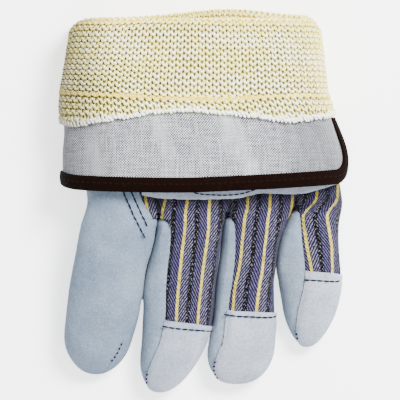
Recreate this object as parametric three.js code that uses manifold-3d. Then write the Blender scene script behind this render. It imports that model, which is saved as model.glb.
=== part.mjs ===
// Leather palm work glove for the left hand. It lies palm down with its cuff folded back over
// the hand. Millimetres, +Z up, +Y towards the mouth, +X towards the little finger, and the
// floor is z = 0.

import * as THREE from "three";
import { mergeVertices } from "three/addons/utils/BufferGeometryUtils.js";
import Module from "manifold-3d";

// Driving dimensions
const leather = 1.5;
const cloth = 1.3;
const canvas = 1.2;
const knit = 1.8;
const tape = 0.9;
const tapeWidth = 7;
const seamGap = 0.3;
const tapeGap = 0.4;

const shellTop = 76;          // the hand's own edge, inside the fold of the cuff
const cuffLevels = [50, 60, 71];  // rows of the cuff below the knit, the last its upper edge
const linerDepth = 47;        // how far down the knit goes inside
const slitHalf = 6.5;         // half the width of the cuff's slit, along the cuff
const slitFloor = 15;         // height of the slit's middle above the floor
const underReach = 16.6;      // from there down to the flat underside, before the floor cuts it
const cornerRadius = 11;      // the rounded corners beside the slit
const foldRadius = 4.6;       // the roll at the fold of the cuff
const knitLap = 1.5;          // the slit ends this far below the knit's edge
const canvasStep = { below: 17, over: 15.5 };  // where the canvas sinks to pass under the knit
const edgeLine = 15;          // y at which distances along the cuff's edge are measured
const webLength = 15;         // how long the hollow between two knuckles is
const knuckleHollow = { depth: 0.6, from: 10, over: 30 };  // it fades out up the hand
const crotchGap = 0.2;        // each finger's own draw-in beside a crotch
const crotchFlare = 5;        // how far below the crotch the fingers part fully
const crotchLap = 1.5;        // the hand's leather and cloth run this far below the crotch
const strap = { top: 10, thick: 1.2, clear: 0.6, from: -29, endTurn: 0.86 };
const linerClear = 0.7;       // between the hand's skin and the knit inside it

// Roundness of the sections: 2 is an ellipse, more is squarer
const fingerRound = 2.4;
const tipRound = 2.2;
const cuffRound = { above: 2.8, below: 4.5 };

const turns = 6;              // facets over each half of a finger
const cuffStations = 17;      // stations from the left edge to the slit, above and below
const ringFacets = 160;       // points of the cuff's smooth section that stations lie on
const nominalHalf = 150;      // about half the way round the cuff, for places near the slit
const thumbSides = 12;

// Each row is a section across a finger's column, from the mouth to the fingertip: left and
// right as seen from above, low and high above the floor. Seam is where the leather at the
// left meets the cloth or the fingertip's cap. The last row is the width that the rounded
// tip is drawn in from.
const fingers = [
  {
    name: "index", tip: -82.7, roundFrom: -66, crotch: -8.5,
    rows: [
      { y: 84, left: -54, right: -25, low: 7, high: 28.5, seam: -36 },
      { y: 60, left: -57, right: -24, low: 8, high: 29.5, seam: -36 },
      { y: 40, left: -59, right: -23, low: 10, high: 30.5, seam: -35 },
      { y: 20, left: -58.5, right: -22, low: 11.2, high: 31, seam: -34 },
      { y: 0, left: -55, right: -21.5, low: 11.8, high: 31, seam: -29 },
      { y: -12, left: -58, right: -23.2, low: 11.2, high: 30.6, seam: -22 },
      { y: -24, left: -60.4, right: -25.2, low: 8.6, high: 28.8, seam: -22 },
      { y: -40, left: -63.5, right: -29, low: 4.6, high: 25.3, seam: -22 },
      { y: -56, left: -65.5, right: -31.2, low: 1.2, high: 22, seam: -22 },
      { y: -66, left: -66.2, right: -33.8, low: 0, high: 20, seam: -22 },
      { y: -82.7, left: -64, right: -38, low: 0, high: 14, seam: -22 },
    ],
  },
  {
    name: "middle", tip: -90.4, roundFrom: -70, crotch: -7.5, hem: [-56.2, -59.4],
    rows: [
      { y: 84, left: -25, right: 3, low: 6.5, high: 30, seam: -25 },
      { y: 60, left: -24, right: 5, low: 7, high: 31, seam: -24 },
      { y: 40, left: -23, right: 8, low: 8, high: 31.5, seam: -23 },
      { y: 20, left: -22, right: 11, low: 9, high: 31.5, seam: -22 },
      { y: 0, left: -21.5, right: 12.5, low: 9.5, high: 30.6, seam: -21.5 },
      { y: -12, left: -21.4, right: 8.4, low: 8.5, high: 30, seam: -16.4 },
      { y: -24, left: -24.3, right: 7.4, low: 6, high: 28, seam: -16.4 },
      { y: -31, left: -26.8, right: 6.4, low: 4.8, high: 26.5, seam: -17.2 },
      { y: -42, left: -28.4, right: 4.9, low: 2.8, high: 24.3, seam: -18 },
      { y: -54, left: -29, right: 4, low: 1.2, high: 22.4, seam: -18.4 },
      { y: -62, left: -29.5, right: 2.4, low: 0.4, high: 21, seam: -19.5 },
      { y: -70, left: -30.2, right: -0.6, low: 0, high: 19.4, seam: -21.8 },
      { y: -90.4, left: -33, right: -9.5, low: 0, high: 14, seam: -33 },
    ],
  },
  {
    name: "ring", tip: -86.5, roundFrom: -68, crotch: -4, hem: [-51.5, -53],
    rows: [
      { y: 84, left: 3, right: 28, low: 6.5, high: 29.5, seam: 3 },
      { y: 60, left: 5, right: 30, low: 6, high: 30, seam: 5 },
      { y: 40, left: 8, right: 34, low: 6.5, high: 30, seam: 8 },
      { y: 20, left: 11, right: 39.5, low: 6.5, high: 29.5, seam: 11 },
      { y: 0, left: 12.5, right: 43, low: 7, high: 28.6, seam: 12.5 },
      { y: -12, left: 9.2, right: 37.8, low: 6.4, high: 28, seam: 14 },
      { y: -19, left: 8.5, right: 35.2, low: 5.3, high: 26.9, seam: 14.3 },
      { y: -27, left: 7.7, right: 33.6, low: 4.3, high: 25.6, seam: 14.1 },
      { y: -37, left: 6.3, right: 32.9, low: 3, high: 24, seam: 13.1 },
      { y: -47, left: 5.6, right: 33, low: 1.7, high: 22.5, seam: 11.5 },
      { y: -56, left: 4.8, right: 33.5, low: 0.8, high: 21.2, seam: 10.3 },
      { y: -68, left: 1.9, right: 32.8, low: 0, high: 19.3, seam: 8.3 },
      { y: -86.5, left: -1.5, right: 32, low: 0, high: 13.5, seam: -1.5 },
    ],
  },
  {
    name: "little", tip: -68.8, roundFrom: -50, hem: [-32.9, -35.1],
    rows: [
      { y: 84, left: 28, right: 50.5, low: 6.5, high: 27, seam: 28 },
      { y: 60, left: 30, right: 52.5, low: 6, high: 27, seam: 30 },
      { y: 40, left: 34, right: 55.5, low: 5.5, high: 26.5, seam: 34 },
      { y: 20, left: 39.5, right: 61, low: 4.8, high: 26, seam: 39.5 },
      { y: 0, left: 43, right: 65, low: 4.5, high: 25.6, seam: 43 },
      { y: -10, left: 39.2, right: 63.7, low: 3.5, high: 24.8, seam: 44.9 },
      { y: -17, left: 36.6, right: 63.4, low: 2.8, high: 23.9, seam: 45.6 },
      { y: -24, left: 35, right: 63.7, low: 2, high: 22.8, seam: 46.5 },
      { y: -32, left: 34.3, right: 64.2, low: 1.2, high: 21.4, seam: 47.4 },
      { y: -40, left: 35, right: 64.3, low: 0.6, high: 20.1, seam: 47 },
      { y: -50, left: 36.8, right: 62.5, low: 0, high: 17.8, seam: 44.8 },
      { y: -68.8, left: 39.5, right: 57, low: 0, high: 12, seam: 41 },
    ],
  },
];

// The thumb lies flat below the palm, pointing the same way as the fingers.
const thumb = {
  tip: -26, roundFrom: -12, root: 46, rootRoundFrom: 38,
  rows: [
    { y: 46, left: -54, right: -30, low: 9, high: 21 },
    { y: 38, left: -56, right: -28, low: 6, high: 20 },
    { y: 28, left: -56.5, right: -26, low: 4.2, high: 18 },
    { y: 18, left: -56, right: -25.5, low: 3.9, high: 15.5 },
    { y: 10, left: -55, right: -26, low: 3.8, high: 11.2 },
    { y: 3, left: -54, right: -26.5, low: 4, high: 11.1 },
    { y: -5, left: -53.5, right: -27.5, low: 1, high: 10.9 },
    { y: -12, left: -53, right: -28.5, low: 0, high: 10.2 },
    { y: -26, left: -52, right: -30, low: 0, high: 7.6 },
  ],
};

// The folded cuff's outer surface, which the knit and the tape share
const cuffRows = [
  { y: 88, left: -61.5, right: 52, high: 34.5 },
  { y: 80, left: -63.2, right: 54.5, high: 36.5 },
  { y: 70, left: -64.8, right: 56, high: 38.5 },
  { y: 60, left: -66.5, right: 57.2, high: 39.8 },
  { y: 50, left: -68, right: 58.4, high: 40.6 },
  { y: 42, left: -68.3, right: 61.6, high: 41.2 },
  { y: 30, left: -67.9, right: 66, high: 41.6 },
  { y: 20, left: -67.9, right: 68.4, high: 41.6 },
  { y: 2, left: -67.9, right: 68.4, high: 41 },
];

// The cuff's lower edge round the ring, from the slit over the palm side (-1), past the left
// edge (0) and over the back to the slit again (1): y of the tape's outer edge, and of the
// knit's wavy edge above it
const edgeRows = [
  { at: -1, tape: 8.6, knit: 41.6 },
  { at: -0.75, tape: 5, knit: 37.5 },
  { at: -0.5, tape: 4, knit: 40 },
  { at: -0.25, tape: 4.5, knit: 36.5 },
  { at: 0, tape: 7, knit: 37.2 },
  { at: 0.13, tape: 4.6, knit: 35.3 },
  { at: 0.42, tape: 3.4, knit: 41.4 },
  { at: 0.6, tape: 4.4, knit: 40 },
  { at: 0.78, tape: 6, knit: 37 },
  { at: 1, tape: 8.6, knit: 41.6 },
];

// The fold rim: its y at the two sides, over the back and over the palm, where it bows out
const rim = {
  side: 82, back: 84.8, palm: 86, bow: 4.2, bowAt: 12, bowWidth: 38,
  measuredAt: 80, halfHeight: 18, steep: 1.6,
};

// The knuckle strap's lower edge, along the strap from the index finger to the little finger
const strapRows = [
  { x: -30, y: 2.4 },
  { x: -19, y: 0.6 },
  { x: 14, y: 0.6 },
  { x: 26, y: 3 },
  { x: 46, y: 3 },
  { x: 64, y: 8 },
];

const looks = {
  palmLeather: { color: 0xa9b3bc, roughness: 0.9 },
  capLeather: { color: 0xbcc2c9, roughness: 0.88 },
  striped: { color: 0x8d86a8, roughness: 0.92 },
  knitted: { color: 0xe8ddaa, roughness: 0.95 },
  canvasWeave: { color: 0xb9bdc4, roughness: 0.93 },
  darkTape: { color: 0x24120f, roughness: 0.7 },
};

const wasm = await Module();
wasm.setup();

const glove = new THREE.Group();
glove.name = "leather_palm_work_glove";

// Small helpers

function mix(a, b, share) {
  return a + (b - a) * share;
}

function clamp01(value) {
  return Math.min(1, Math.max(0, value));
}

function smooth(value) {
  const v = clamp01(value);
  return v * v * (3 - 2 * v);
}

function range(count, make) {
  return Array.from({ length: count }, (_, i) => make(i));
}

// A smooth curve through one column of a table whose rows run along `axis`.
function read(rows, axis, key, where) {
  const up = rows[rows.length - 1][axis] > rows[0][axis] ? 1 : -1;
  let i = 0;
  while (i < rows.length - 2 && (rows[i + 1][axis] - where) * up < 0) i += 1;
  const slope = (k) => {
    const a = rows[Math.max(0, k - 1)];
    const b = rows[Math.min(rows.length - 1, k + 1)];
    return (b[key] - a[key]) / (b[axis] - a[axis]);
  };
  const [a, b] = [rows[i], rows[i + 1]];
  const span = b[axis] - a[axis];
  const t = clamp01((where - a[axis]) / span);
  const t2 = t * t;
  const t3 = t2 * t;
  return (2 * t3 - 3 * t2 + 1) * a[key] + (t3 - 2 * t2 + t) * span * slope(i)
    + (3 * t2 - 2 * t3) * b[key] + (t3 - t2) * span * slope(i + 1);
}

// Closed bodies from a grid of outer points and the same grid of inner points

function sheetBody(patches) {
  const outer = [];
  const inner = [];
  const found = new Map();
  const faces = [];
  const keyOf = (p, q) => [...p, ...q].map((v) => Math.round(v * 1000)).join(",");
  const vertex = (p, q) => {
    const key = keyOf(p, q);
    if (!found.has(key)) {
      found.set(key, outer.length);
      outer.push(p);
      inner.push(q);
    }
    return found.get(key);
  };
  const addFace = (a, b, c) => {
    if (a !== b && b !== c && c !== a) faces.push([a, b, c]);
  };
  for (const patch of patches) {
    const ids = patch.outer.map((row, i) => row.map((p, j) => vertex(p, patch.inner[i][j])));
    for (let i = 0; i + 1 < ids.length; i += 1) {
      for (let j = 0; j + 1 < ids[i].length; j += 1) {
        addFace(ids[i][j], ids[i][j + 1], ids[i + 1][j + 1]);
        addFace(ids[i][j], ids[i + 1][j + 1], ids[i + 1][j]);
      }
    }
  }
  const edges = new Set(faces.flatMap(([a, b, c]) => [`${a}_${b}`, `${b}_${c}`, `${c}_${a}`]));
  const count = outer.length;
  const triangles = [];
  for (const [a, b, c] of faces) {
    triangles.push([a, b, c], [count + a, count + c, count + b]);
    for (const [s, e] of [[a, b], [b, c], [c, a]]) {
      if (!edges.has(`${e}_${s}`)) triangles.push([s, count + s, count + e], [s, count + e, e]);
    }
  }
  return bodyOf([...outer, ...inner], triangles);
}

// Triangles that close a flat ring of points, running the same way as the ring
function capFaces(ring) {
  const normal = [0, 0, 0];
  ring.forEach((p, j) => {
    const q = ring[(j + 1) % ring.length];
    normal[0] += (p[1] - q[1]) * (p[2] + q[2]);
    normal[1] += (p[2] - q[2]) * (p[0] + q[0]);
    normal[2] += (p[0] - q[0]) * (p[1] + q[1]);
  });
  const largest = Math.max(...normal.map(Math.abs));
  const kept = [0, 1, 2].filter((axis) => axis !== normal.findIndex((v) => Math.abs(v) === largest));
  const outline = ring.map((p) => new THREE.Vector2(p[kept[0]], p[kept[1]]));
  const faces = THREE.ShapeUtils.triangulateShape(outline, []);
  const forward = faces.some((face) =>
    face.some((a, k) => (a + 1) % ring.length === face[(k + 1) % 3]));
  return forward ? faces : faces.map(([a, b, c]) => [a, c, b]);
}

// A closed body from rings of points, each ring closed on itself
function ringBody(rings, { loop = false } = {}) {
  const size = rings[0].length;
  const points = rings.flat();
  const triangles = [];
  const bands = loop ? rings.length : rings.length - 1;
  for (let i = 0; i < bands; i += 1) {
    const next = (i + 1) % rings.length;
    for (let j = 0; j < size; j += 1) {
      const k = (j + 1) % size;
      triangles.push([i * size + j, next * size + k, next * size + j]);
      triangles.push([i * size + j, i * size + k, next * size + k]);
    }
  }
  if (!loop) {
    for (const face of capFaces(rings[0])) triangles.push([...face].reverse());
    const last = (rings.length - 1) * size;
    for (const face of capFaces(rings[rings.length - 1])) triangles.push(face.map((j) => last + j));
  }
  return bodyOf(points, triangles);
}

// Manifold solid from points and triangles, turned so that its faces point out
function bodyOf(points, triangles) {
  const raw = new THREE.BufferGeometry();
  raw.setAttribute("position", new THREE.Float32BufferAttribute(points.flat(), 3));
  raw.setIndex(triangles.flat());
  const geometry = mergeVertices(raw, 1e-4);
  const at = geometry.attributes.position;
  const index = [...geometry.index.array];
  let faces = [];
  for (let i = 0; i < index.length; i += 3) {
    const [a, b, c] = index.slice(i, i + 3);
    if (a !== b && b !== c && c !== a) faces.push([a, b, c]);
  }
  const corner = (i) => new THREE.Vector3().fromBufferAttribute(at, i);
  const volume = faces.reduce(
    (sum, [a, b, c]) => sum + corner(a).dot(corner(b).cross(corner(c))) / 6, 0);
  if (volume < 0) faces = faces.map(([a, b, c]) => [a, c, b]);
  const mesh = new wasm.Mesh({
    numProp: 3,
    vertProperties: new Float32Array(at.array),
    triVerts: new Uint32Array(faces.flat()),
  });
  return new wasm.Manifold(mesh);
}

function addPiece(name, solid, look) {
  const found = solid.getMesh();
  const geometry = new THREE.BufferGeometry();
  geometry.setAttribute("position", new THREE.BufferAttribute(found.vertProperties, 3));
  geometry.setIndex(new THREE.BufferAttribute(found.triVerts, 1));
  geometry.computeVertexNormals();
  const material = new THREE.MeshStandardMaterial({ metalness: 0, ...look });
  const mesh = new THREE.Mesh(geometry, material);
  mesh.name = name;
  glove.add(mesh);
}

// The hand and fingers: four columns side by side, open to each other above the crotches

function columnAt(i, y) {
  const rows = fingers[i].rows;
  const row = {};
  for (const key of ["left", "right", "low", "high", "seam"]) row[key] = read(rows, "y", key, y);
  row.middle = (row.low + row.high) / 2;
  return row;
}

// The line that columns i and i + 1 share on the hand, and the heights of its two skins.
function sharedLine(i, y) {
  const [a, b] = [columnAt(i, y), columnAt(i + 1, y)];
  const middle = (a.middle + b.middle) / 2;
  const share = smooth((y - fingers[i].crotch) / webLength);
  const hollow = knuckleHollow.depth
    * (1 - smooth((y - knuckleHollow.from) / knuckleHollow.over));
  const [high, low] = [(a.high + b.high) / 2, (a.low + b.low) / 2];
  return {
    x: (a.right + b.left) / 2,
    top: mix(middle + leather + seamGap, high - hollow, share),
    bottom: mix(middle - leather - seamGap, low + hollow, share),
    high,
    low,
    share,
  };
}

// A column's side at y: shared with its neighbour above the crotch, its own wall below it.
function sideOf(i, right, half, y, inset, lift) {
  const column = columnAt(i, y);
  const line = right ? i : i - 1;
  const hasLine = line >= 0 && line < fingers.length - 1;
  const inward = right ? -1 : 1;
  const own = { x: right ? column.right : column.left, z: column.middle + lift * seamGap / 2 };
  if (hasLine && y >= fingers[line].crotch) {
    const shared = sharedLine(line, y);
    return {
      x: shared.x,
      z: (half > 0 ? shared.top : shared.bottom) - half * inset,
      crown: half > 0 ? shared.high : shared.low,
      share: shared.share,
    };
  }
  if (hasLine) {
    const apart = smooth((fingers[line].crotch - y) / crotchFlare);
    own.x = mix(sharedLine(line, y).x, own.x, apart) + inward * crotchGap;
  }
  return { x: own.x + inward * inset, z: own.z, crown: 0, share: 0 };
}

// A point of the skin: half is 1 above and -1 below, turn runs from 0 at the left to pi at the
// right, inset is the depth below the outer surface, and lift leans the side edges up or down.
function skin(i, half, turn, y, inset, lift) {
  const finger = fingers[i];
  const column = columnAt(i, y);
  const left = sideOf(i, false, half, y, inset, lift);
  const right = sideOf(i, true, half, y, inset, lift);
  const across = (1 - Math.cos(turn)) / 2;
  const near = across < 0.5 ? left : right;
  const pull = near.share * Math.abs(2 * across - 1) ** 2;
  const crown = mix(half > 0 ? column.high : column.low, near.crown, pull) - half * inset;
  const edge = mix(left.z, right.z, smooth(across));
  const bulge = (1 - Math.abs(Math.cos(turn)) ** fingerRound) ** (1 / fingerRound);
  const toTip = clamp01((finger.roundFrom - y) / (finger.roundFrom - finger.tip));
  const shrink = (1 - toTip ** tipRound) ** (1 / tipRound);
  const centre = (left.x + right.x) / 2;
  const x = centre + (mix(left.x, right.x, across) - centre) * shrink;
  const middle = column.middle + lift * seamGap / 2;
  const z = middle + (mix(edge, crown, bulge) - middle) * shrink;
  return [x, y + inset * toTip, z];
}

// The turn at which a line at x crosses the upper skin.
function turnAt(i, x, y) {
  const left = sideOf(i, false, 1, y, 0, 0).x;
  const right = sideOf(i, true, 1, y, 0, 0).x;
  return Math.acos(1 - 2 * clamp01((x - left) / (right - left)));
}

function skinPatch(i, half, rows, turnFrom, turnTo, thickness, lift) {
  const make = (inset) => rows.map((y) => range(turns + 1, (j) => {
    const share = j / turns;
    const at = typeof y === "function" ? y(share) : y;
    const turn = mix(turnFrom(at), turnTo(at), share);
    return skin(i, half, turn, at, inset, lift);
  }));
  const patch = { outer: make(0), inner: make(thickness) };
  if (half < 0) {
    patch.outer.forEach((row) => row.reverse());
    patch.inner.forEach((row) => row.reverse());
  }
  return patch;
}

const atLeft = () => 0;
const atRight = () => Math.PI;
const seamTurn = (i, side) => (y) => turnAt(i, columnAt(i, y).seam + side * seamGap / 2, y);

// Rows shared by the pieces: down the hand, then down a finger to its rounded tip
const handRows = [shellTop, 62, 48, 36, 24, 14, 6, 0, -2, -4, -6, -7.5, -8.5];
const firstFingerRow = (i) => {
  const lines = [fingers[i - 1], fingers[i]].filter((f) => f && f.crotch !== undefined);
  return Math.min(...lines.map((f) => f.crotch)) - crotchLap;
};

function fingerRows(i, from, count, tipCount) {
  const finger = fingers[i];
  const shaft = range(count, (k) => mix(from, finger.roundFrom, k / count));
  const length = finger.roundFrom - finger.tip;
  const tip = range(tipCount + 1, (k) =>
    finger.roundFrom - length * Math.sin((k / tipCount) * Math.PI / 2));
  return [...shaft, ...tip];
}

function handRowsTo(limit) {
  return [...handRows.filter((y) => y > limit + seamGap), limit];
}

// The thumb, a flat tube below the palm, and the hole where it enters the hand

const thumbLines = [46, 44.5, 41.5, 38, 32, 26, 20, 14, 8, 2, -5, -12, -17, -21.5, -24.7, -26];
const palmCoreLines = [60, 48, 36, 24, 14, 6, 0, -2, -4, -6, -7.5];
const smallestEnd = 0.08;     // the share of its width at which a rounded end closes

function thumbRing(y, inset) {
  const at = (key) => read(thumb.rows, "y", key, y);
  const middle = (at("low") + at("high")) / 2;
  const centre = (at("left") + at("right")) / 2;
  const toTip = clamp01((thumb.roundFrom - y) / (thumb.roundFrom - thumb.tip));
  const toRoot = clamp01((y - thumb.rootRoundFrom) / (thumb.root - thumb.rootRoundFrom));
  const shrink = Math.max(smallestEnd, Math.sqrt(1 - Math.max(toTip, toRoot) ** 2));
  const wide = ((at("right") - at("left")) / 2 - inset) * shrink;
  const tall = ((at("high") - at("low")) / 2 - inset) * shrink;
  return range(thumbSides, (j) => {
    const turn = (j / thumbSides) * Math.PI * 2;
    const bend = (v) => Math.sign(v) * Math.abs(v) ** (2 / fingerRound);
    return [
      centre + wide * bend(Math.cos(turn)),
      y + inset * (toTip - toRoot),
      middle + tall * bend(Math.sin(turn)),
    ];
  });
}

function thumbBody(inset) {
  return ringBody(thumbLines.map((y) => thumbRing(y, inset)));
}

// The hand's outer form under the index and middle fingers, grown by a gap
function palmCore() {
  const gap = -seamGap;
  const section = (y) => [0, 1].flatMap((i) =>
    range(turns, (j) => skin(i, -1, mix(0, Math.PI, j / turns), y, gap, -1)))
    .concat([skin(1, -1, Math.PI, y, gap, -1)], [1, 0].flatMap((i) =>
      range(turns, (j) => skin(i, 1, mix(Math.PI, 0, j / turns), y, gap, 1))));
  return ringBody(palmCoreLines.map(section));
}

const thumbHollow = thumbBody(leather);
addPiece("thumb", thumbBody(0).subtract(thumbHollow).subtract(palmCore()), looks.palmLeather);

// Palm leather with the whole index finger

function palmPatches() {
  const below = fingers.map((finger, i) => {
    const last = i === 0 ? finger.crotch : firstFingerRow(i);
    return skinPatch(i, -1, handRowsTo(last), atLeft, atRight, leather, i === 0 ? 0 : -1);
  });
  const backRows = handRowsTo(fingers[0].crotch);
  const indexBack = skinPatch(0, 1, backRows, atLeft, seamTurn(0, -1), leather, 0);
  const rows = fingerRows(0, firstFingerRow(0) - 0.2, 9, 5);
  const turnNear = (y) => (y < fingers[0].crotch ? Math.PI : seamTurn(0, -1)(y));
  const fingerTop = skinPatch(0, 1, [fingers[0].crotch, ...rows], atLeft, turnNear, leather, 0);
  const fingerBelow = skinPatch(0, -1, [fingers[0].crotch, ...rows], atLeft, atRight, leather, 0);
  return [...below, indexBack, fingerTop, fingerBelow];
}
addPiece("palm", sheetBody(palmPatches()).subtract(thumbHollow), looks.palmLeather);

// Leather of the other three fingers: over the left side and across the palm side

function fingerLeather(i) {
  const rows = fingerRows(i, firstFingerRow(i) - seamGap, 8, 5);
  const side = skinPatch(i, 1, rows, atLeft, seamTurn(i, -1), leather, -1);
  const front = skinPatch(i, -1, rows, atLeft, atRight, leather, -1);
  const wide = side.outer[0].length;
  const keep = (row) => row.filter((_, j) => j % 4 === 0 || j === wide - 1);
  return [{ outer: side.outer.map(keep), inner: side.inner.map(keep) }, front];
}
for (const i of [1, 2, 3]) {
  addPiece(`${fingers[i].name}_finger_leather`, sheetBody(fingerLeather(i)), looks.palmLeather);
}

// Striped cloth of the back: a strip of the index column, then three fingers to their hems

function hemOf(i, side) {
  const [leftHem, rightHem] = fingers[i].hem;
  return (share) => mix(leftHem, rightHem, share) - side * seamGap / 2;
}

function backPatches() {
  const strip = skinPatch(0, 1, handRowsTo(fingers[0].crotch), seamTurn(0, 1), atRight, cloth, 1);
  const columns = [1, 2, 3].map((i) => {
    const crotch = fingers[i - 1].crotch;
    const from = (y) => (y >= crotch ? 0 : seamTurn(i, 1)(y));
    const hand = handRowsTo(firstFingerRow(i));
    const hem = hemOf(i, -1);
    const count = 7;
    const shaft = range(count, (k) => (share) =>
      mix(firstFingerRow(i), hem(share), (k + 1) / count));
    return skinPatch(i, 1, [...hand, ...shaft], from, atRight, cloth, 1);
  });
  return [strip, ...columns];
}
addPiece("fabric_back", sheetBody(backPatches()), looks.striped);

// Leather caps on the back of the fingertips

for (const i of [1, 2, 3]) {
  const hem = hemOf(i, 1);
  const roundFrom = fingers[i].roundFrom;
  const count = 3;
  const shaft = range(count, (k) => (share) => mix(hem(share), roundFrom, k / count));
  const tip = fingerRows(i, roundFrom, 0, 5);
  const cap = skinPatch(i, 1, [...shaft, ...tip], seamTurn(i, 1), atRight, leather, 1);
  addPiece(`${fingers[i].name}_fingertip`, sheetBody([cap]), looks.capLeather);
}

// Knuckle strap over the cloth, from the index seam to the little finger's side

function strapPatches() {
  const rows = range(4, (k) => k / 3);
  const make = (i, from, to) => (inset) => rows.map((share) => range(turns + 1, (j) => {
    const turn = mix(from, to, j / turns);
    const x = skin(i, 1, turn, strap.top, 0, 1)[0];
    const low = read(strapRows, "x", "y", x);
    return skin(i, 1, turn, mix(strap.top, low, share), inset, 1);
  }));
  const parts = [
    [0, turnAt(0, strap.from, strap.top), Math.PI],
    [1, 0, Math.PI],
    [2, 0, Math.PI],
    [3, 0, strap.endTurn * Math.PI],
  ];
  return parts.map(([i, from, to]) => {
    const at = make(i, from, to);
    return { outer: at(-strap.clear - strap.thick), inner: at(-strap.clear) };
  });
}
addPiece("knuckle_strap", sheetBody(strapPatches()), looks.palmLeather);

// The folded cuff: a ring whose stations run from -1 at the slit, below, to 1 at the slit, above

const ringCache = new Map();

function ringSection(y) {
  if (ringCache.has(y)) return ringCache.get(y);
  const [left, right, high] = ["left", "right", "high"].map((key) => read(cuffRows, "y", key, y));
  const half = ringFacets / 2;
  const points = range(ringFacets + 1, (k) => {
    const turn = Math.PI * (1 + k / half);
    const [c, s] = [Math.cos(turn), Math.sin(turn)];
    const above = k > half;
    const power = 2 / (above ? cuffRound.above : cuffRound.below);
    const reach = above ? high - slitFloor : underReach;
    return [
      (left + right) / 2 + ((right - left) / 2) * Math.sign(c) * Math.abs(c) ** power,
      Math.max(0, slitFloor + reach * Math.sign(s) * Math.abs(s) ** power),
    ];
  });
  const lengths = [0];
  for (let k = 1; k < points.length; k += 1) {
    const [a, b] = [points[k - 1], points[k]];
    lengths.push(lengths[k - 1] + Math.hypot(b[0] - a[0], b[1] - a[1]));
  }
  // The run starts at the left, goes below to the right and back above.
  const section = { points, lengths, below: lengths[half], total: lengths[ringFacets] };
  ringCache.set(y, section);
  return section;
}

function ringPoint(at, y, inset) {
  const s = ringSection(y);
  const a = Math.min(1, Math.max(-1, at));
  const run = a <= 0 ? -a * s.below : s.total - a * (s.total - s.below);
  let k = 1;
  while (k < s.lengths.length - 1 && s.lengths[k] < run) k += 1;
  const share = (run - s.lengths[k - 1]) / (s.lengths[k] - s.lengths[k - 1]);
  const [p, q] = [s.points[k - 1], s.points[k]];
  const spread = 3;
  const size = s.points.length - 1;
  const before = s.points[(k - 1 - spread + size) % size];
  const after = s.points[(k + spread) % size];
  const along = [after[0] - before[0], after[1] - before[1]];
  const length = Math.hypot(...along);
  const inward = [-along[1] / length, along[0] / length];
  return [
    mix(p[0], q[0], share) + inward[0] * inset,
    y,
    mix(p[1], q[1], share) + inward[1] * inset,
  ];
}

// Half the way round the cuff near its edge, below (at < 0) or above
function ringHalfLength(at) {
  const s = ringSection(edgeLine);
  return at < 0 ? s.below : s.total - s.below;
}

const edgeAt = (key, at) => read(edgeRows, "at", key, at);
const canvasEdge = (at) => edgeAt("tape", at) + tape + tapeGap;

// The canvas lies just below the tape near its edge, and below the knit further up.
function canvasInset(at, y) {
  const underKnit = smooth((y - edgeAt("knit", at) + canvasStep.below) / canvasStep.over);
  return mix(tape + tapeGap, knit + seamGap, underKnit);
}

const slitAt = 1 - slitHalf / nominalHalf;
const closeTop = (at) => edgeAt("knit", at) - knitLap;

// Stations on one side, closer together round the bends at the left edge and at the slit
const sideStations = range(cuffStations + 1, (k) => {
  const u = k / cuffStations;
  return slitAt * (u - Math.sin(2 * Math.PI * u) / (4 * Math.PI));
});
const stations = [...sideStations.slice(1).map((at) => -at).reverse(), ...sideStations];
const halfwayToSlit = (1 + slitAt) / 2;
const slitStations = [slitAt, halfwayToSlit, 1, -halfwayToSlit, -slitAt];

// The y of the cut canvas, rounded at the corners beside the slit
function cutEdge(at) {
  const beside = (slitAt - Math.abs(at)) * ringHalfLength(at);
  const base = canvasEdge(at);
  if (beside >= cornerRadius) return base;
  const drop = cornerRadius - Math.max(0, beside);
  return base + cornerRadius - Math.sqrt(cornerRadius ** 2 - drop ** 2);
}

// Extra stations at the rounded corners: how far each is from the slit
const cornerPlaces = [0.4, 1.4, 3, 6.4];

function canvasPatches() {
  const upper = [closeTop, ...cuffLevels.map((y) => () => y)];
  const lowerCount = 4;
  const rows = [
    ...range(lowerCount, (k) => (at) => mix(cutEdge(at), closeTop(at), k / lowerCount)),
    ...upper,
  ];
  const corners = cornerPlaces.map((mm) => slitAt - mm / nominalHalf);
  const all = [...stations, ...corners, ...corners.map((v) => -v)].sort((a, b) => a - b);
  const sheet = (lines, places) => (inset) => lines.map((line) => places.map((at) =>
    ringPoint(at, line(at), canvasInset(at, line(at)) + inset)));
  const main = sheet(rows, all);
  const bridge = sheet(upper, slitStations);
  return [
    { outer: main(0), inner: main(canvas) },
    { outer: bridge(0), inner: bridge(canvas) },
  ];
}
addPiece("canvas_cuff", sheetBody(canvasPatches()), looks.canvasWeave);

// Tape folded over the cuff's cut edge: down one side of the slit, round, and up the other

function tapePath() {
  const [sideSteps, cornerSteps] = [4, 5];
  const side = (sign) => range(sideSteps, (k) => {
    const top = closeTop(sign * slitAt);
    const y = mix(top, cutEdge(slitAt), k / sideSteps) - (k === 0 ? seamGap : 0);
    return { at: sign * slitAt, y, lean: Math.PI / 2, sign };
  });
  const corner = (sign) => range(cornerSteps + 1, (k) => {
    const lean = (Math.PI / 2) * (1 - k / cornerSteps);
    const half = ringHalfLength(sign);
    const at = sign * (slitAt - (cornerRadius * (1 - Math.sin(lean))) / half);
    return {
      at,
      y: canvasEdge(at) + cornerRadius * (1 - Math.cos(lean)),
      lean,
      sign,
    };
  });
  const pastCorner = 3;
  const reach = slitAt - (cornerRadius + pastCorner) / nominalHalf;
  const plain = stations.filter((at) => Math.abs(at) < reach)
    .map((at) => ({ at, y: canvasEdge(at), lean: 0, sign: 1 }));
  return [
    ...side(-1), ...corner(-1),
    ...plain,
    ...corner(1).reverse(), ...side(1).reverse(),
  ];
}

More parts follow.
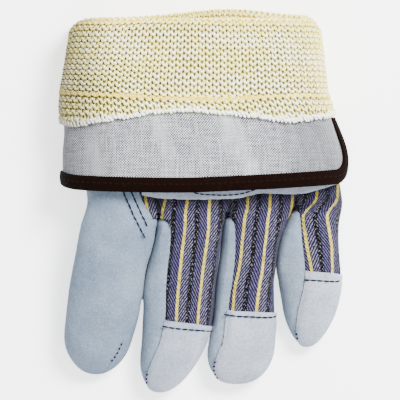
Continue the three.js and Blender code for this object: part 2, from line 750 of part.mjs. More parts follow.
function tapeRing({ at, y, lean, sign }) {
  const out = -tapeGap - tape;
  const deep = canvas + tapeGap + tape;
  const wide = tapeWidth + out;
  const profile = [
    [wide, out], [out, out], [out, deep], [wide, deep],
    [wide, canvas + tapeGap], [wide / 2, canvas + tapeGap], [-tapeGap, canvas + tapeGap],
    [-tapeGap, -tapeGap], [wide / 2, -tapeGap], [wide, -tapeGap],
  ];
  const half = ringHalfLength(at);
  return profile.map(([inward, inset]) => {
    const alongRing = at - sign * (inward * Math.sin(lean)) / half;
    const up = y + inward * Math.cos(lean);
    return ringPoint(alongRing, up, canvasInset(alongRing, up) + inset);
  });
}
addPiece("cuff_binding", ringBody(tapePath().map(tapeRing)), looks.darkTape);

// Knit liner: outer leg over the canvas, the roll at the fold, inner leg inside the hand

function handSection(y, inset) {
  const per = 14;             // points across each finger's column
  const above = fingers.flatMap((_, i) =>
    range(per, (j) => skin(i, 1, mix(0, Math.PI, j / per), y, inset, 0)));
  const below = [...fingers.keys()].reverse().flatMap((i) =>
    range(per, (j) => skin(i, -1, mix(Math.PI, 0, j / per), y, inset, 0)));
  return { above: [...above, below[0]], below: [...below, above[0]].reverse() };
}

function alongLine(points, share) {
  const lengths = [0];
  for (let k = 1; k < points.length; k += 1) {
    const [a, b] = [points[k - 1], points[k]];
    lengths.push(lengths[k - 1] + Math.hypot(b[0] - a[0], b[2] - a[2]));
  }
  const run = clamp01(share) * lengths[lengths.length - 1];
  let k = 1;
  while (k < lengths.length - 1 && lengths[k] < run) k += 1;
  const part = (run - lengths[k - 1]) / (lengths[k] - lengths[k - 1]);
  return [0, 1, 2].map((axis) => mix(points[k - 1][axis], points[k][axis], part));
}

const innerFace = leather + linerClear;

function linerInner(at, y, inset) {
  const section = handSection(y, innerFace + inset);
  return alongLine(at >= 0 ? section.above : section.below, Math.abs(at));
}

function rimAt(at) {
  const p = ringPoint(at, rim.measuredAt, 0);
  const height = (p[2] - slitFloor) / rim.halfHeight;
  const bow = rim.bow * Math.exp(-(((p[0] - rim.bowAt) / rim.bowWidth) ** 2));
  const far = height > 0 ? rim.back : rim.palm + bow;
  return mix(rim.side, far, smooth(Math.abs(height) * rim.steep));
}

function linerRing(at) {
  const top = rimAt(at) - foldRadius;
  const outerLeg = [edgeAt("knit", at), ...cuffLevels, top];
  const innerLeg = [1, 0.5, 0].map((s) => mix(linerDepth, top, s));
  const rollSteps = 5;
  const roll = (outset) => range(rollSteps - 1, (k) => {
    const turn = Math.PI * ((k + 1) / rollSteps);
    const a = ringPoint(at, top, outset);
    const b = linerInner(at, top, knit - outset);
    const share = (1 - Math.cos(turn)) / 2;
    const rise = (foldRadius - outset) * Math.sin(turn);
    return [mix(a[0], b[0], share), top + rise, mix(a[2], b[2], share)];
  });
  return [
    ...outerLeg.map((y) => ringPoint(at, y, 0)),
    ...roll(0),
    ...innerLeg.map((y) => linerInner(at, y, knit)),
    ...innerLeg.reverse().map((y) => linerInner(at, y, 0)),
    ...roll(knit).reverse(),
    ...outerLeg.reverse().map((y) => ringPoint(at, y, knit)),
  ];
}
const linerStations = [...stations, ...slitStations.slice(1, -1)];
addPiece("knit_liner", ringBody(linerStations.map(linerRing), { loop: true }), looks.knitted);

export default glove;
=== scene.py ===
import math

import bpy
import numpy as np
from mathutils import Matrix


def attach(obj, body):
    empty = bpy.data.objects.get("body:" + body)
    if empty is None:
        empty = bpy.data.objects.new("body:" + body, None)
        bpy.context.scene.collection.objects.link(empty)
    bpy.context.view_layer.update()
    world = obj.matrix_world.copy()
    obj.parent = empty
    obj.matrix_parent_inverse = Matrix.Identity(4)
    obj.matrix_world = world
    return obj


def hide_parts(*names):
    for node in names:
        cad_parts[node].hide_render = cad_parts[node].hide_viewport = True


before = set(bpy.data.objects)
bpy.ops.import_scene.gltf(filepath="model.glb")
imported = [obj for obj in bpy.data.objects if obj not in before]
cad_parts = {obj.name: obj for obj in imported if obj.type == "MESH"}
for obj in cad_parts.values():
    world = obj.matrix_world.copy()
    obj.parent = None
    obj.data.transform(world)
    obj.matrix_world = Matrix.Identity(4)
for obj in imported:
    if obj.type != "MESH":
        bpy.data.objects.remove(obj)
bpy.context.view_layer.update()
print("frame loaded")

# Sizes below are in millimetres and become metres when a mesh is made.
mm = 0.001
fullTurn = 2 * math.pi

# The camera looks straight down at the back of the hand, from far off

cameraSettings = {"middle": (-2.0, 0.0, 20.0), "viewWidth": 188.0, "lens": 300.0, "sensor": 36.0,
                  "clip": (0.05, 10)}


def makeCamera():
    x, y, z = cameraSettings["middle"]
    distance = cameraSettings["viewWidth"] * cameraSettings["lens"] / cameraSettings["sensor"]
    data = bpy.data.cameras.new("photoCamera")
    data.lens, data.sensor_width = cameraSettings["lens"], cameraSettings["sensor"]
    data.clip_start, data.clip_end = cameraSettings["clip"]
    camera = bpy.data.objects.new("photoCamera", data)
    camera.location = (x * mm, y * mm, (z + distance) * mm)
    bpy.context.scene.collection.objects.link(camera)
    bpy.context.scene.camera = camera


makeCamera()

# Sizes of the glove, the same as the solids have

walls = {"leather": 1.5, "cloth": 1.3, "canvas": 1.2, "knit": 1.8, "tape": 0.9}
gaps = {"seam": 0.3, "tape": 0.4, "liner": 0.7}
tapeWidth = 7
fingerRound, tipRound = 2.4, 2.2
cuffRound = {"above": 2.8, "below": 4.5, "pressed": 1.6}
slit = {"half": 6.5, "floor": 15, "radius": 11}
foldRadius = 4.6
knitEnd = 47    # how far down inside the hand the knit reaches
web = {"length": 15, "blend": 5, "apart": 0.2, "hollow": 0.6, "hollowFrom": 10, "hollowOver": 30}
archLength = 5    # the side leather's pointed top at each crotch
strap = {"top": 10, "middle": 8.0, "thick": 1.2, "clear": 0.6, "from": -29, "last": 0.86}

columnKeys = ("y", "left", "right", "low", "high", "seam")


def table(keys, *rows):
    return {key: np.array([row[k] for row in rows], float) for k, key in enumerate(keys)}


fingers = [
    {"name": "index", "tip": -82.7, "roundFrom": -66, "crotch": -8.5, "rows": table(
        columnKeys,
        (84, -54, -25, 7, 28.5, -36), (60, -57, -24, 8, 29.5, -36), (40, -59, -23, 10, 30.5, -35),
        (20, -58.5, -22, 11.2, 31, -34), (0, -55, -21.5, 11.8, 31, -29),
        (-12, -58, -23.2, 11.2, 30.6, -22), (-24, -60.4, -25.2, 8.6, 28.8, -22),
        (-40, -63.5, -29, 4.6, 25.3, -22), (-56, -65.5, -31.2, 1.2, 22, -22),
        (-66, -66.2, -33.8, 0, 20, -22), (-82.7, -64, -38, 0, 14, -22))},
    {"name": "middle", "tip": -90.4, "roundFrom": -70, "crotch": -7.5, "hem": (-56.2, -59.4),
     "rows": table(
        columnKeys,
        (84, -25, 3, 6.5, 30, -25), (60, -24, 5, 7, 31, -24), (40, -23, 8, 8, 31.5, -23),
        (20, -22, 11, 9, 31.5, -22), (0, -21.5, 12.5, 9.5, 30.6, -21.5),
        (-12, -21.4, 8.4, 8.5, 30, -16.4), (-24, -24.3, 7.4, 6, 28, -16.4),
        (-31, -26.8, 6.4, 4.8, 26.5, -17.2), (-42, -28.4, 4.9, 2.8, 24.3, -18),
        (-54, -29, 4, 1.2, 22.4, -18.4), (-62, -29.5, 2.4, 0.4, 21, -19.5),
        (-70, -30.2, -0.6, 0, 19.4, -21.8), (-90.4, -33, -9.5, 0, 14, -33))},
    {"name": "ring", "tip": -86.5, "roundFrom": -68, "crotch": -4, "hem": (-51.5, -53),
     "rows": table(
        columnKeys,
        (84, 3, 28, 6.5, 29.5, 3), (60, 5, 30, 6, 30, 5), (40, 8, 34, 6.5, 30, 8),
        (20, 11, 39.5, 6.5, 29.5, 11), (0, 12.5, 43, 7, 28.6, 12.5),
        (-12, 9.2, 37.8, 6.4, 28, 14), (-19, 8.5, 35.2, 5.3, 26.9, 14.3),
        (-27, 7.7, 33.6, 4.3, 25.6, 14.1), (-37, 6.3, 32.9, 3, 24, 13.1),
        (-47, 5.6, 33, 1.7, 22.5, 11.5), (-56, 4.8, 33.5, 0.8, 21.2, 10.3),
        (-68, 1.9, 32.8, 0, 19.3, 8.3), (-86.5, -1.5, 32, 0, 13.5, -1.5))},
    {"name": "little", "tip": -68.8, "roundFrom": -50, "hem": (-32.9, -35.1), "rows": table(
        columnKeys,
        (84, 28, 50.5, 6.5, 27, 28), (60, 30, 52.5, 6, 27, 30), (40, 34, 55.5, 5.5, 26.5, 34),
        (20, 39.5, 61, 4.8, 26, 39.5), (0, 43, 65, 4.5, 25.6, 43),
        (-10, 39.2, 63.7, 3.5, 24.8, 44.9), (-17, 36.6, 63.4, 2.8, 23.9, 45.6),
        (-24, 35, 63.7, 2, 22.8, 46.5), (-32, 34.3, 64.2, 1.2, 21.4, 47.4),
        (-40, 35, 64.3, 0.6, 20.1, 47), (-50, 36.8, 62.5, 0, 17.8, 44.8),
        (-68.8, 39.5, 57, 0, 12, 41))},
]

thumb = {"tip": -26, "roundFrom": -12, "root": 46, "rootRoundFrom": 38, "rows": table(
    ("y", "left", "right", "low", "high"),
    (46, -54, -30, 9, 21), (38, -56, -28, 6, 20), (28, -56.5, -26, 4.2, 18),
    (18, -56, -25.5, 3.9, 15.5), (10, -55, -26, 3.8, 11.2), (3, -54, -26.5, 4, 11.1),
    (-5, -53.5, -27.5, 1, 10.9), (-12, -53, -28.5, 0, 10.2), (-26, -52, -30, 0, 7.6))}

cuffRows = table(
    ("y", "left", "right", "high"),
    (88, -61.5, 52, 34.5), (80, -63.2, 54.5, 36.5), (70, -64.8, 56, 38.5), (60, -66.5, 57.2, 39.8),
    (50, -68, 58.4, 40.6), (42, -68.3, 61.6, 41.2), (30, -67.9, 66, 41.6), (20, -67.9, 68.4, 41.6),
    (2, -67.9, 68.4, 41))

# Where the cuff ends round the ring: tape's outer edge, knit's wavy edge, plain yellow row
edgeRows = table(
    ("at", "tape", "knit", "line"),
    (-1, 8.6, 41.6, 48), (-0.75, 5, 37.5, 47.5), (-0.5, 4, 40, 47.5), (-0.25, 4.5, 36.5, 48.5),
    (0, 7, 37.2, 50.5), (0.13, 4.6, 35.3, 49.3), (0.42, 3.4, 41.4, 46.8), (0.6, 4.4, 40, 46.3),
    (0.78, 6, 37, 48), (1, 8.6, 41.6, 48.5))

rim = {"side": 82, "back": 84.8, "palm": 86, "bow": 4.2, "bowAt": 12, "bowWidth": 38,
       "halfHeight": 18, "shoulder": 1.6}

strapRows = table(("x", "y"), (-30, 2.4), (-19, 0.6), (14, 0.6), (26, 3), (46, 3), (64, 8))


def mix(a, b, share):
    return a + (b - a) * share


def clamp01(value):
    return np.clip(value, 0.0, 1.0)


def smooth(value):
    v = clamp01(value)
    return v * v * (3 - 2 * v)


def bell(away, width):
    return np.exp(-(away / width) ** 2)


def unit(vectors):
    return vectors / np.maximum(np.linalg.norm(vectors, axis=-1, keepdims=True), 1e-9)


def runAlong(steps):
    return np.concatenate([np.zeros(steps.shape[:-1] + (1,)), np.cumsum(steps, -1)], -1)


# For each row: the step in which its run ends, and the share of that step
def stepAt(lengths, run):
    each = np.arange(len(lengths))
    k = np.clip((lengths[:, 1:] < run[:, None]).sum(1) + 1, 1, lengths.shape[1] - 1)
    return each, k, (run - lengths[each, k - 1]) / (lengths[each, k] - lengths[each, k - 1])


def read(rows, axis, key, where):
    at, value = rows[axis], rows[key]
    if at[-1] < at[0]:
        at, value = at[::-1], value[::-1]
    place = np.arange(len(at))
    low, high = np.maximum(place - 1, 0), np.minimum(place + 1, len(at) - 1)
    slope = (value[high] - value[low]) / (at[high] - at[low])
    where = np.asarray(where, float)
    i = np.clip(np.searchsorted(at, where, side="right") - 1, 0, len(at) - 2)
    span = at[i + 1] - at[i]
    t = clamp01((where - at[i]) / span)
    t2, t3 = t * t, t * t * t
    return ((2 * t3 - 3 * t2 + 1) * value[i] + (t3 - 2 * t2 + t) * span * slope[i]
            + (3 * t2 - 2 * t3) * value[i + 1] + (t3 - t2) * span * slope[i + 1])


# The hand and fingers: four columns side by side, open to each other above the crotches


def columnAt(i, y):
    row = {key: read(fingers[i]["rows"], "y", key, y) for key in columnKeys[1:]}
    row["middle"] = (row["low"] + row["high"]) / 2
    return row


def sharedLine(i, y):
    a, b = columnAt(i, y), columnAt(i + 1, y)
    middle = (a["middle"] + b["middle"]) / 2
    share = smooth((y - fingers[i]["crotch"]) / web["length"])
    hollow = web["hollow"] * (1 - smooth((y - web["hollowFrom"]) / web["hollowOver"]))
    high, low = (a["high"] + b["high"]) / 2, (a["low"] + b["low"]) / 2
    apart = walls["leather"] + gaps["seam"]
    return {"x": (a["right"] + b["left"]) / 2, "high": high, "low": low, "share": share,
            "top": mix(middle + apart, high - hollow, share),
            "bottom": mix(middle - apart, low + hollow, share)}


def sideOf(i, right, half, y, inset, lift):
    column = columnAt(i, y)
    line = i if right else i - 1
    inward = -1 if right else 1
    x = column["right" if right else "left"]
    z = column["middle"] + lift * gaps["seam"] / 2
    none = np.zeros_like(y)
    if not 0 <= line < len(fingers) - 1:
        return x + inward * inset, z, none, none
    shared = sharedLine(line, y)
    crotch = fingers[line]["crotch"]
    own = mix(shared["x"], x, smooth((crotch - y) / web["blend"]))
    own = own + inward * (web["apart"] + inset)
    joined = y >= crotch
    top = shared["top"] if half > 0 else shared["bottom"]
    crown = shared["high"] if half > 0 else shared["low"]
    return (np.where(joined, shared["x"], own), np.where(joined, top - half * inset, z),
            np.where(joined, crown, 0), np.where(joined, shared["share"], 0))


def skin(i, half, turn, y, inset, lift):
    turn, y, inset = np.broadcast_arrays(np.asarray(turn, float), np.asarray(y, float),
                                         np.asarray(inset, float))
    finger, column = fingers[i], columnAt(i, y)
    leftX, leftZ, leftCrown, leftShare = sideOf(i, False, half, y, inset, lift)
    rightX, rightZ, rightCrown, rightShare = sideOf(i, True, half, y, inset, lift)
    across = (1 - np.cos(turn)) / 2
    nearCrown = np.where(across < 0.5, leftCrown, rightCrown)
    nearShare = np.where(across < 0.5, leftShare, rightShare)
    pull = nearShare * np.abs(2 * across - 1) ** 2
    crown = mix(column["high" if half > 0 else "low"], nearCrown, pull) - half * inset
    edge = mix(leftZ, rightZ, smooth(across))
    bulge = (1 - np.abs(np.cos(turn)) ** fingerRound) ** (1 / fingerRound)
    toTip = clamp01((finger["roundFrom"] - y) / (finger["roundFrom"] - finger["tip"]))
    shrink = (1 - toTip ** tipRound) ** (1 / tipRound)
    centre = (leftX + rightX) / 2
    x = centre + (mix(leftX, rightX, across) - centre) * shrink
    middle = column["middle"] + lift * gaps["seam"] / 2
    z = middle + (mix(edge, crown, bulge) - middle) * shrink
    return np.stack([x, y + inset * toTip, z], -1)


def turnAt(i, x, y):
    y = np.asarray(y, float)
    left = sideOf(i, False, 1, y, 0.0, 0)[0]
    right = sideOf(i, True, 1, y, 0.0, 0)[0]
    return np.arccos(1 - 2 * clamp01((x - left) / (right - left)))


def seamX(i, y):
    x = columnAt(i, y)["seam"]
    if i == 0:
        return x
    below = clamp01((fingers[i - 1]["crotch"] - y) / archLength)
    left = sideOf(i, False, 1, np.asarray(y, float), 0.0, 0)[0]
    return mix(left, x, np.sqrt(1 - (1 - below) ** 2))


def seamTurn(i, side):
    return lambda y: turnAt(i, seamX(i, y) + side * gaps["seam"] / 2, y)


def atLeft(y):
    return np.zeros_like(y)


def atRight(y):
    return np.full_like(y, math.pi)


coatInside = 0.4    # how much of a raised coat the inner face follows


def skinPatch(i, half, rows, turnFrom, turnTo, thickness, lift, columns=22, coat=None):
    share = np.linspace(0, 1, columns + 1)
    grid = np.stack([row(share) if callable(row) else np.full(columns + 1, float(row))
                     for row in rows])
    turn = mix(turnFrom(grid), turnTo(grid), share)
    raised = coat(i, half, turn, grid) if coat else 0.0
    outer = skin(i, half, turn, grid, -raised, lift)
    inner = skin(i, half, turn, grid, thickness - raised * coatInside, lift)
    middle = skin(i, half, np.full_like(turn, math.pi / 2), grid, 0.0, lift)[..., 0]
    run = runAlong(np.linalg.norm(np.diff(outer, axis=1), axis=-1))
    halfway = np.array([np.interp(m, x, r) for m, x, r in zip(middle[:, 0], outer[..., 0], run)])
    arc = run - halfway[:, None] + middle
    patch = {"outer": outer, "inner": inner, "arc": arc, "column": i}
    if half < 0:
        patch = {key: v[:, ::-1] if key != "column" else v for key, v in patch.items()}
    return patch


# Rows of the skin's grid: on the hand, then each finger from just below its crotch
rowStep, belowCrotch = 0.8, 1.5
handRows = [76, 68, 60, 50, 40, 30, 22, 16, 12] + list(np.arange(10, -8.6, -0.5))


def handRowsTo(limit):
    return [y for y in handRows if y > limit + 0.2] + [limit]


def firstFingerRow(i):
    lines = [f["crotch"] for f in fingers[max(0, i - 1):i + 1] if "crotch" in f]
    return min(lines) - belowCrotch


def fingerRows(i, start, tipCount=16):
    finger = fingers[i]
    count = max(0, int((start - finger["roundFrom"]) / rowStep))
    shaft = [mix(start, finger["roundFrom"], k / count) for k in range(count)]
    length = finger["roundFrom"] - finger["tip"]
    tip = [finger["roundFrom"] - length * math.sin(k / tipCount * math.pi / 2)
           for k in range(tipCount + 1)]
    return shaft + tip


# A calm bumpiness that is the same on every run: smooth noise from a hashed lattice
latticePrimes, latticeMix, latticeTop = (73856093, 19349663, 83492791), 1274126177, 0xFFFF


def noise(points, size, seed=0):
    p = np.asarray(points, float) / size + 100 + seed * 17.3
    base = np.floor(p).astype(np.int64)
    f = p - base
    f = f * f * (3 - 2 * f)
    total = 0.0
    for corner in range(8):
        step = np.array([(corner >> axis) & 1 for axis in range(3)])
        n = base + step
        mixed = np.bitwise_xor.reduce(n * np.array(latticePrimes), axis=-1)
        mixed = (mixed ^ (mixed >> 13)) * latticeMix
        value = ((mixed ^ (mixed >> 16)) & latticeTop) / latticeTop
        weight = np.prod(np.where(step == 1, f, 1 - f), axis=-1)
        total = total + value * weight
    return total * 2 - 1


def flatNoise(a, b, size, seed):
    return noise(np.stack(np.broadcast_arrays(a, b, 0 * a), -1), size, seed)


# Meshes. Points of two patches that fall on one step of this grid, in steps a millimetre, are one

weldGrid = 500
innerFollows = 0.8    # how much of the outer face's relief the inner face gets


def fit(mesh, material, replaced=None, smoothAngle=50):
    mesh.update()
    mesh.polygons.foreach_set("use_smooth", [True] * len(mesh.polygons))
    if smoothAngle:
        mesh.set_sharp_from_angle(angle=math.radians(smoothAngle))
    piece = bpy.data.objects.new(mesh.name, mesh)
    bpy.context.scene.collection.objects.link(piece)
    piece.data.materials.append(material)
    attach(piece, "root")
    if replaced:
        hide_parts(replaced)
    return piece


def gridQuads(rows, columns, closedRows=False, closedColumns=False):
    r = np.arange(rows if closedRows else rows - 1)[:, None]
    c = np.arange(columns if closedColumns else columns - 1)[None, :]
    nextR, nextC = (r + 1) % rows, (c + 1) % columns
    quads = np.stack([r * columns + c, nextR * columns + c, nextR * columns + nextC,
                      r * columns + nextC], -1)
    return quads.reshape(-1, 4)


def endFan(first, size, centre, turned=False):
    ring = np.arange(size)
    pair = [first + ring, first + (ring + 1) % size]
    return np.stack((pair[::-1] if turned else pair) + [ring * 0 + centre] * 2, -1)


def setUv(mesh, layers):
    for name, values in layers.items():
        flat = np.asarray(values, np.float32).reshape(-1)
        mesh.uv_layers.new(name=name).uv.foreach_set("vector", flat)


def sheetMesh(name, patches, relief=None):
    outer = np.concatenate([p["outer"].reshape(-1, 3) for p in patches])
    inner = np.concatenate([p["inner"].reshape(-1, 3) for p in patches])
    keys = np.round(np.concatenate([outer, inner], 1) * weldGrid).astype(np.int64)
    _, first, ids = np.unique(keys, axis=0, return_index=True, return_inverse=True)
    ids = ids.reshape(-1)
    outer, inner = outer[first], inner[first]
    layers = [key for key in patches[0] if key not in ("outer", "inner", "column", "arc")]
    quads, corners = [], {key: [] for key in layers}
    offset = 0
    for patch in patches:
        rows, columns = patch["outer"].shape[:2]
        local = gridQuads(rows, columns)
        quads.append(ids[local + offset])
        for key in layers:
            corners[key].append(patch[key].reshape(-1, 2)[local])
        offset += rows * columns
    quads = np.concatenate(quads)
    corners = {key: np.concatenate(value) for key, value in corners.items()}
    real = np.array([len(set(q)) >= 3 for q in quads.tolist()])
    quads, corners = quads[real], {key: value[real] for key, value in corners.items()}
    count = len(outer)
    if relief is not None:
        normal = np.zeros_like(outer)
        a, b, c, d = (outer[quads[:, k]] for k in range(4))
        face = np.cross(c - a, d - b)
        face *= np.sign(((a - inner[quads[:, 0]]) * face).sum())
        for k in range(4):
            np.add.at(normal, quads[:, k], face)
        normal = unit(normal)
        moved = normal * relief(outer, normal)[:, None]
        outer, inner = outer + moved, inner + moved * innerFollows
    starts = quads.reshape(-1)
    ends = quads[:, [1, 2, 3, 0]].reshape(-1)
    known = set(zip(starts.tolist(), ends.tolist()))
    lone = np.array([(e, s) not in known and e != s
                     for s, e in zip(starts.tolist(), ends.tolist())])
    s, e = starts[lone], ends[lone]
    rim = np.stack([s, s + count, e + count, e], -1)
    faces = np.concatenate([quads, quads[:, ::-1] + count, rim])
    uvs = {}
    for key in layers:
        front = corners[key]
        edgeStart = front.reshape(-1, 2)[lone]
        edgeEnd = front[:, [1, 2, 3, 0]].reshape(-1, 2)[lone]
        side = np.stack([edgeStart, edgeStart, edgeEnd, edgeEnd], 1)
        uvs[key] = np.concatenate([front, front[:, ::-1], side])
    points = np.concatenate([outer, inner])
    points[:, 2] = np.maximum(points[:, 2], 0)
    return cleanMesh(name, points, faces, uvs)


def cleanMesh(name, points, faces, uvs):
    a, b, c, d = (points[faces[:, k]] for k in range(4))
    if ((a * np.cross(b, c)).sum() + (a * np.cross(c, d)).sum()) < 0:
        faces, uvs = faces[:, ::-1], {key: value[:, ::-1] for key, value in uvs.items()}
    kept, loops = [], {key: [] for key in uvs}
    for f, face in enumerate(faces.tolist()):
        places = [k for k in range(4) if face[k] != face[k - 1]]
        kept.append([face[k] for k in places])
        for key in uvs:
            loops[key].append(uvs[key][f][places])
    mesh = bpy.data.meshes.new(name)
    mesh.from_pydata((points * mm).tolist(), [], kept)
    setUv(mesh, {key: np.concatenate(value) for key, value in loops.items()})
    mesh.validate()
    return mesh


# Materials: a wire carries a socket's value, so shader maths reads as plain expressions


def tone(red, green, blue):
    values = [v / 255 for v in (red, green, blue)]
    return tuple(v / 12.92 if v <= 0.04045 else ((v + 0.055) / 1.055) ** 2.4
                 for v in values) + (1.0,)


class Wire:
    def __init__(self, paint, socket):
        self.paint, self.socket = paint, socket

    def maths(self, operation, *values):
        return self.paint.add("ShaderNodeMath", {"operation": operation}, dict(enumerate(values)))

    def __add__(self, other):
        return self.maths("ADD", self, other)

    def __sub__(self, other):
        return self.maths("SUBTRACT", self, other)

    def __rsub__(self, other):
        return self.maths("SUBTRACT", other, self)

    def __mul__(self, other):
        return self.maths("MULTIPLY", self, other)

    def __truediv__(self, other):
        return self.maths("DIVIDE", self, other)

    __radd__, __rmul__ = __add__, __mul__

    def wave(self):
        return self.maths("SINE", self) * 0.5 + 0.5

    def sine(self):
        return self.maths("SINE", self)

    def size(self):
        return self.maths("ABSOLUTE", self)

    def wrap(self):
        return self.maths("FRACT", self)

    def below(self, limit):
        return self.maths("LESS_THAN", self, limit)

    def ease(self, low, high):
        return self.paint.add("ShaderNodeMapRange", {"interpolation_type": "SMOOTHSTEP"},
                              {0: self, 1: low, 2: high, 3: 0.0, 4: 1.0})


class Paint:
    def __init__(self, name, roughness=0.9, sheen=0.0, specular=0.3):
        self.material = bpy.data.materials.new(name)
        self.material.use_nodes = True
        self.tree = self.material.node_tree
        self.shader = self.tree.nodes["Principled BSDF"]
        values = {"Roughness": roughness, "Specular IOR Level": specular, "Sheen Weight": sheen,
                  "Sheen Roughness": 0.6}
        for key, value in values.items():
            self.shader.inputs[key].default_value = value

    def add(self, kind, settings=None, inputs=None, output=0):
        node = self.tree.nodes.new(kind)
        for key, value in (settings or {}).items():
            setattr(node, key, value)
        for key, value in (inputs or {}).items():
            if isinstance(value, Wire):
                self.tree.links.new(value.socket, node.inputs[key])
            else:
                node.inputs[key].default_value = value
        return Wire(self, node.outputs[output])

    def uv(self, layer):
        return self.add("ShaderNodeUVMap", {"uv_map": layer})

    def parts(self, vector):
        node = self.add("ShaderNodeSeparateXYZ", None, {0: vector}).socket.node
        return [Wire(self, socket) for socket in node.outputs]

    def place(self):
        return self.add("ShaderNodeTexCoord", output=3)

    def noise(self, vector, scale, detail=3.0, roughness=0.55, stretch=None):
        if stretch:
            vector = self.add("ShaderNodeVectorMath", {"operation": "MULTIPLY"},
                              {0: vector, 1: stretch})
        return self.add("ShaderNodeTexNoise", {"noise_dimensions": "3D"},
                        {"Vector": vector, "Scale": scale, "Detail": detail,
                         "Roughness": roughness})

    def blend(self, factor, under, over):
        a, b = (tone(*c) if isinstance(c, tuple) else c for c in (under, over))
        return self.add("ShaderNodeMix", {"data_type": "RGBA"}, {0: factor, 6: a, 7: b}, 2)

    def finish(self, colour, height, distance, strength=1.0):
        normal = self.add("ShaderNodeBump", None,
                          {"Height": height, "Distance": distance, "Strength": strength})
        self.tree.links.new(colour.socket, self.shader.inputs["Base Color"])
        self.tree.links.new(normal.socket, self.shader.inputs["Normal"])
        return self.material


# The side suede is the palm suede painted paler: painted light that lifts the shade the fingers
# cast on one another
suedeSettings = {
    "palmSuede": {"pale": (113, 126, 141), "deep": (92, 107, 124), "warm": (117, 121, 126)},
    "sideSuedePaintedLight": {"pale": (123, 136, 151), "deep": (102, 117, 134), "warm": (125, 129, 134)},
    "capSuede": {"pale": (159, 165, 176), "deep": (136, 145, 160), "warm": (162, 154, 144)},
}
suedeGrain = {"broad": 45, "brushed": 260, "nap": 850, "fleck": 1400, "stain": 28,
              "relief": 0.0007, "shadow": (72, 84, 98), "light": (204, 212, 222)}


def suedeMaterial(name):
    look, grain = suedeSettings[name], suedeGrain
    paint = Paint(name, 0.97, sheen=0.04, specular=0.05)
    at = paint.place()
    broad = paint.noise(at, grain["broad"], 4)
    nap = paint.noise(at, grain["nap"], 5, 0.7)
    brushed = paint.noise(at, grain["brushed"], 4, 0.6, (1.0, 0.35, 1.0))
    stain = paint.noise(at, grain["stain"], 2)
    fleck = paint.noise(at, grain["fleck"], 2, 0.6)
    shade = paint.blend(broad.ease(0.35, 0.7), look["deep"], look["pale"])
    shade = paint.blend(brushed.ease(0.4, 0.8) * 0.35, shade, look["pale"])
    shade = paint.blend(stain.ease(0.58, 0.75) * 0.5, shade, look["warm"])
    shade = paint.blend(nap.ease(0.46, 0.72) * 0.45, shade, grain["shadow"])
    shade = paint.blend(fleck.ease(0.54, 0.7) * 0.15, shade, grain["light"])
    return paint.finish(shade, nap * 0.7 + brushed * 0.6 + broad * 0.5, grain["relief"], 0.7)


# Herringbone between yellow and black lines. The pitch and the twill's step are in millimetres
stripeSettings = {
    "pitch": 10.7, "yellow": 0.06, "black": 0.09, "twill": 2.1, "climb": 1.7, "relief": 0.0005,
    "dark": ((14, 12, 28), (54, 50, 80), (104, 101, 124)),
    "pale": ((14, 12, 26), (56, 52, 78), (114, 112, 127)),
    "violet": (30, 26, 66), "turned": (24, 20, 50), "under": (6, 5, 14),
    "blackYarn": ((0, 0, 1), (120, 118, 130)), "yellowYarn": ((138, 120, 40), (192, 176, 74)),
    "edgeLines": (4, 7), "lastLine": 9,
}


def stripeMaterial():
    look = stripeSettings
    paint = Paint("stripedTwill", 0.95, sheen=0.03, specular=0.05)
    u, v, _ = paint.parts(paint.uv("cloth"))
    at = paint.place()
    ragged = paint.noise(at, 900, 2, 0.7) - 0.5
    s = u + (paint.noise(at, 160, 2) - 0.5) * 0.035
    cell = (s + 0.5).wrap() - 0.5
    side = cell.below(0.0) * 2 - 1
    grain = paint.noise(at, 700, 3, 0.6)
    climb = look["pitch"] * look["climb"]
    slant = (v + s * side * climb) / look["twill"] + (grain - 0.5) * 0.85
    twill = (slant * fullTurn).wave()
    near = cell.size() + ragged * 0.03
    yellow = 1 - near.ease(look["yellow"] - 0.01, look["yellow"] + 0.01)
    # The lines that would run along the fingers' right edges stop at the crotch
    middleEdge, ringEdge = ((u - line).size().below(0.3) for line in look["edgeLines"])
    yellow = yellow * (1 - (middleEdge + ringEdge) * (1 - v.ease(-10, -7)))
    notched = near + (twill - 0.5) * 0.05
    black = 1 - notched.ease(0.5 - look["black"] - 0.015, 0.5 - look["black"] + 0.015)
    along = paint.add("ShaderNodeCombineXYZ", None, {0: slant, 1: v - s * side * look["pitch"]})
    streak = paint.noise(along, 1.0, 3, 0.75, (1.7, 0.7, 1.0))
    broken = twill.ease(0.5, 0.85) * streak.ease(0.42, 0.54)
    gap, body, thread = look["dark"]
    darkSide = paint.blend(twill.ease(0.2, 0.75), gap, body)
    darkSide = paint.blend(broken * 0.5, darkSide, thread)
    gap, body, thread = look["pale"]
    paleSide = paint.blend(twill.ease(0.2, 0.7), gap, body)
    paleSide = paint.blend(broken, paleSide, thread)
    shade = paint.blend(cell.below(0.0), paleSide, darkSide)
    shade = paint.blend(paint.noise(at, 120, 3).ease(0.45, 0.7) * 0.35, shade, look["violet"])
    # The cloth turns away from the light past the last yellow line, on the little finger
    pastLast = u.ease(look["lastLine"] + 0.05, look["lastLine"] + 0.25)
    shade = paint.blend(pastLast * 0.55, shade, look["turned"])
    inBlack = paint.blend(broken * streak.ease(0.5, 0.62), *look["blackYarn"])
    inYellow = paint.blend(grain.ease(0.3, 0.6), *look["yellowYarn"])
    shade = paint.blend(black, inBlack, shade)
    shade = paint.blend(yellow, shade, inYellow)
    # Painted shadow: the cloth is darkened toward its top edge, where the knuckle strap and the
    # cuff shade it
    shade = paint.blend(v.ease(-9.0, 1.5) * 0.6, shade, look["under"])
    return paint.finish(shade, twill * 0.7 + grain * 0.6, look["relief"], 0.8)


# The cuff's weave: its pitch in millimetres, and how it darkens away from the light
weaveSettings = {
    "pitch": 1.25, "relief": 0.0004, "gap": (3, 5, 11), "yarn": (184, 185, 187),
    "slub": (214, 214, 214), "cross": (92, 100, 124), "band": (206, 207, 207),
    "away": (72, 73, 78), "lit": 0.006, "awayFrom": (0.032, 0.066),
}


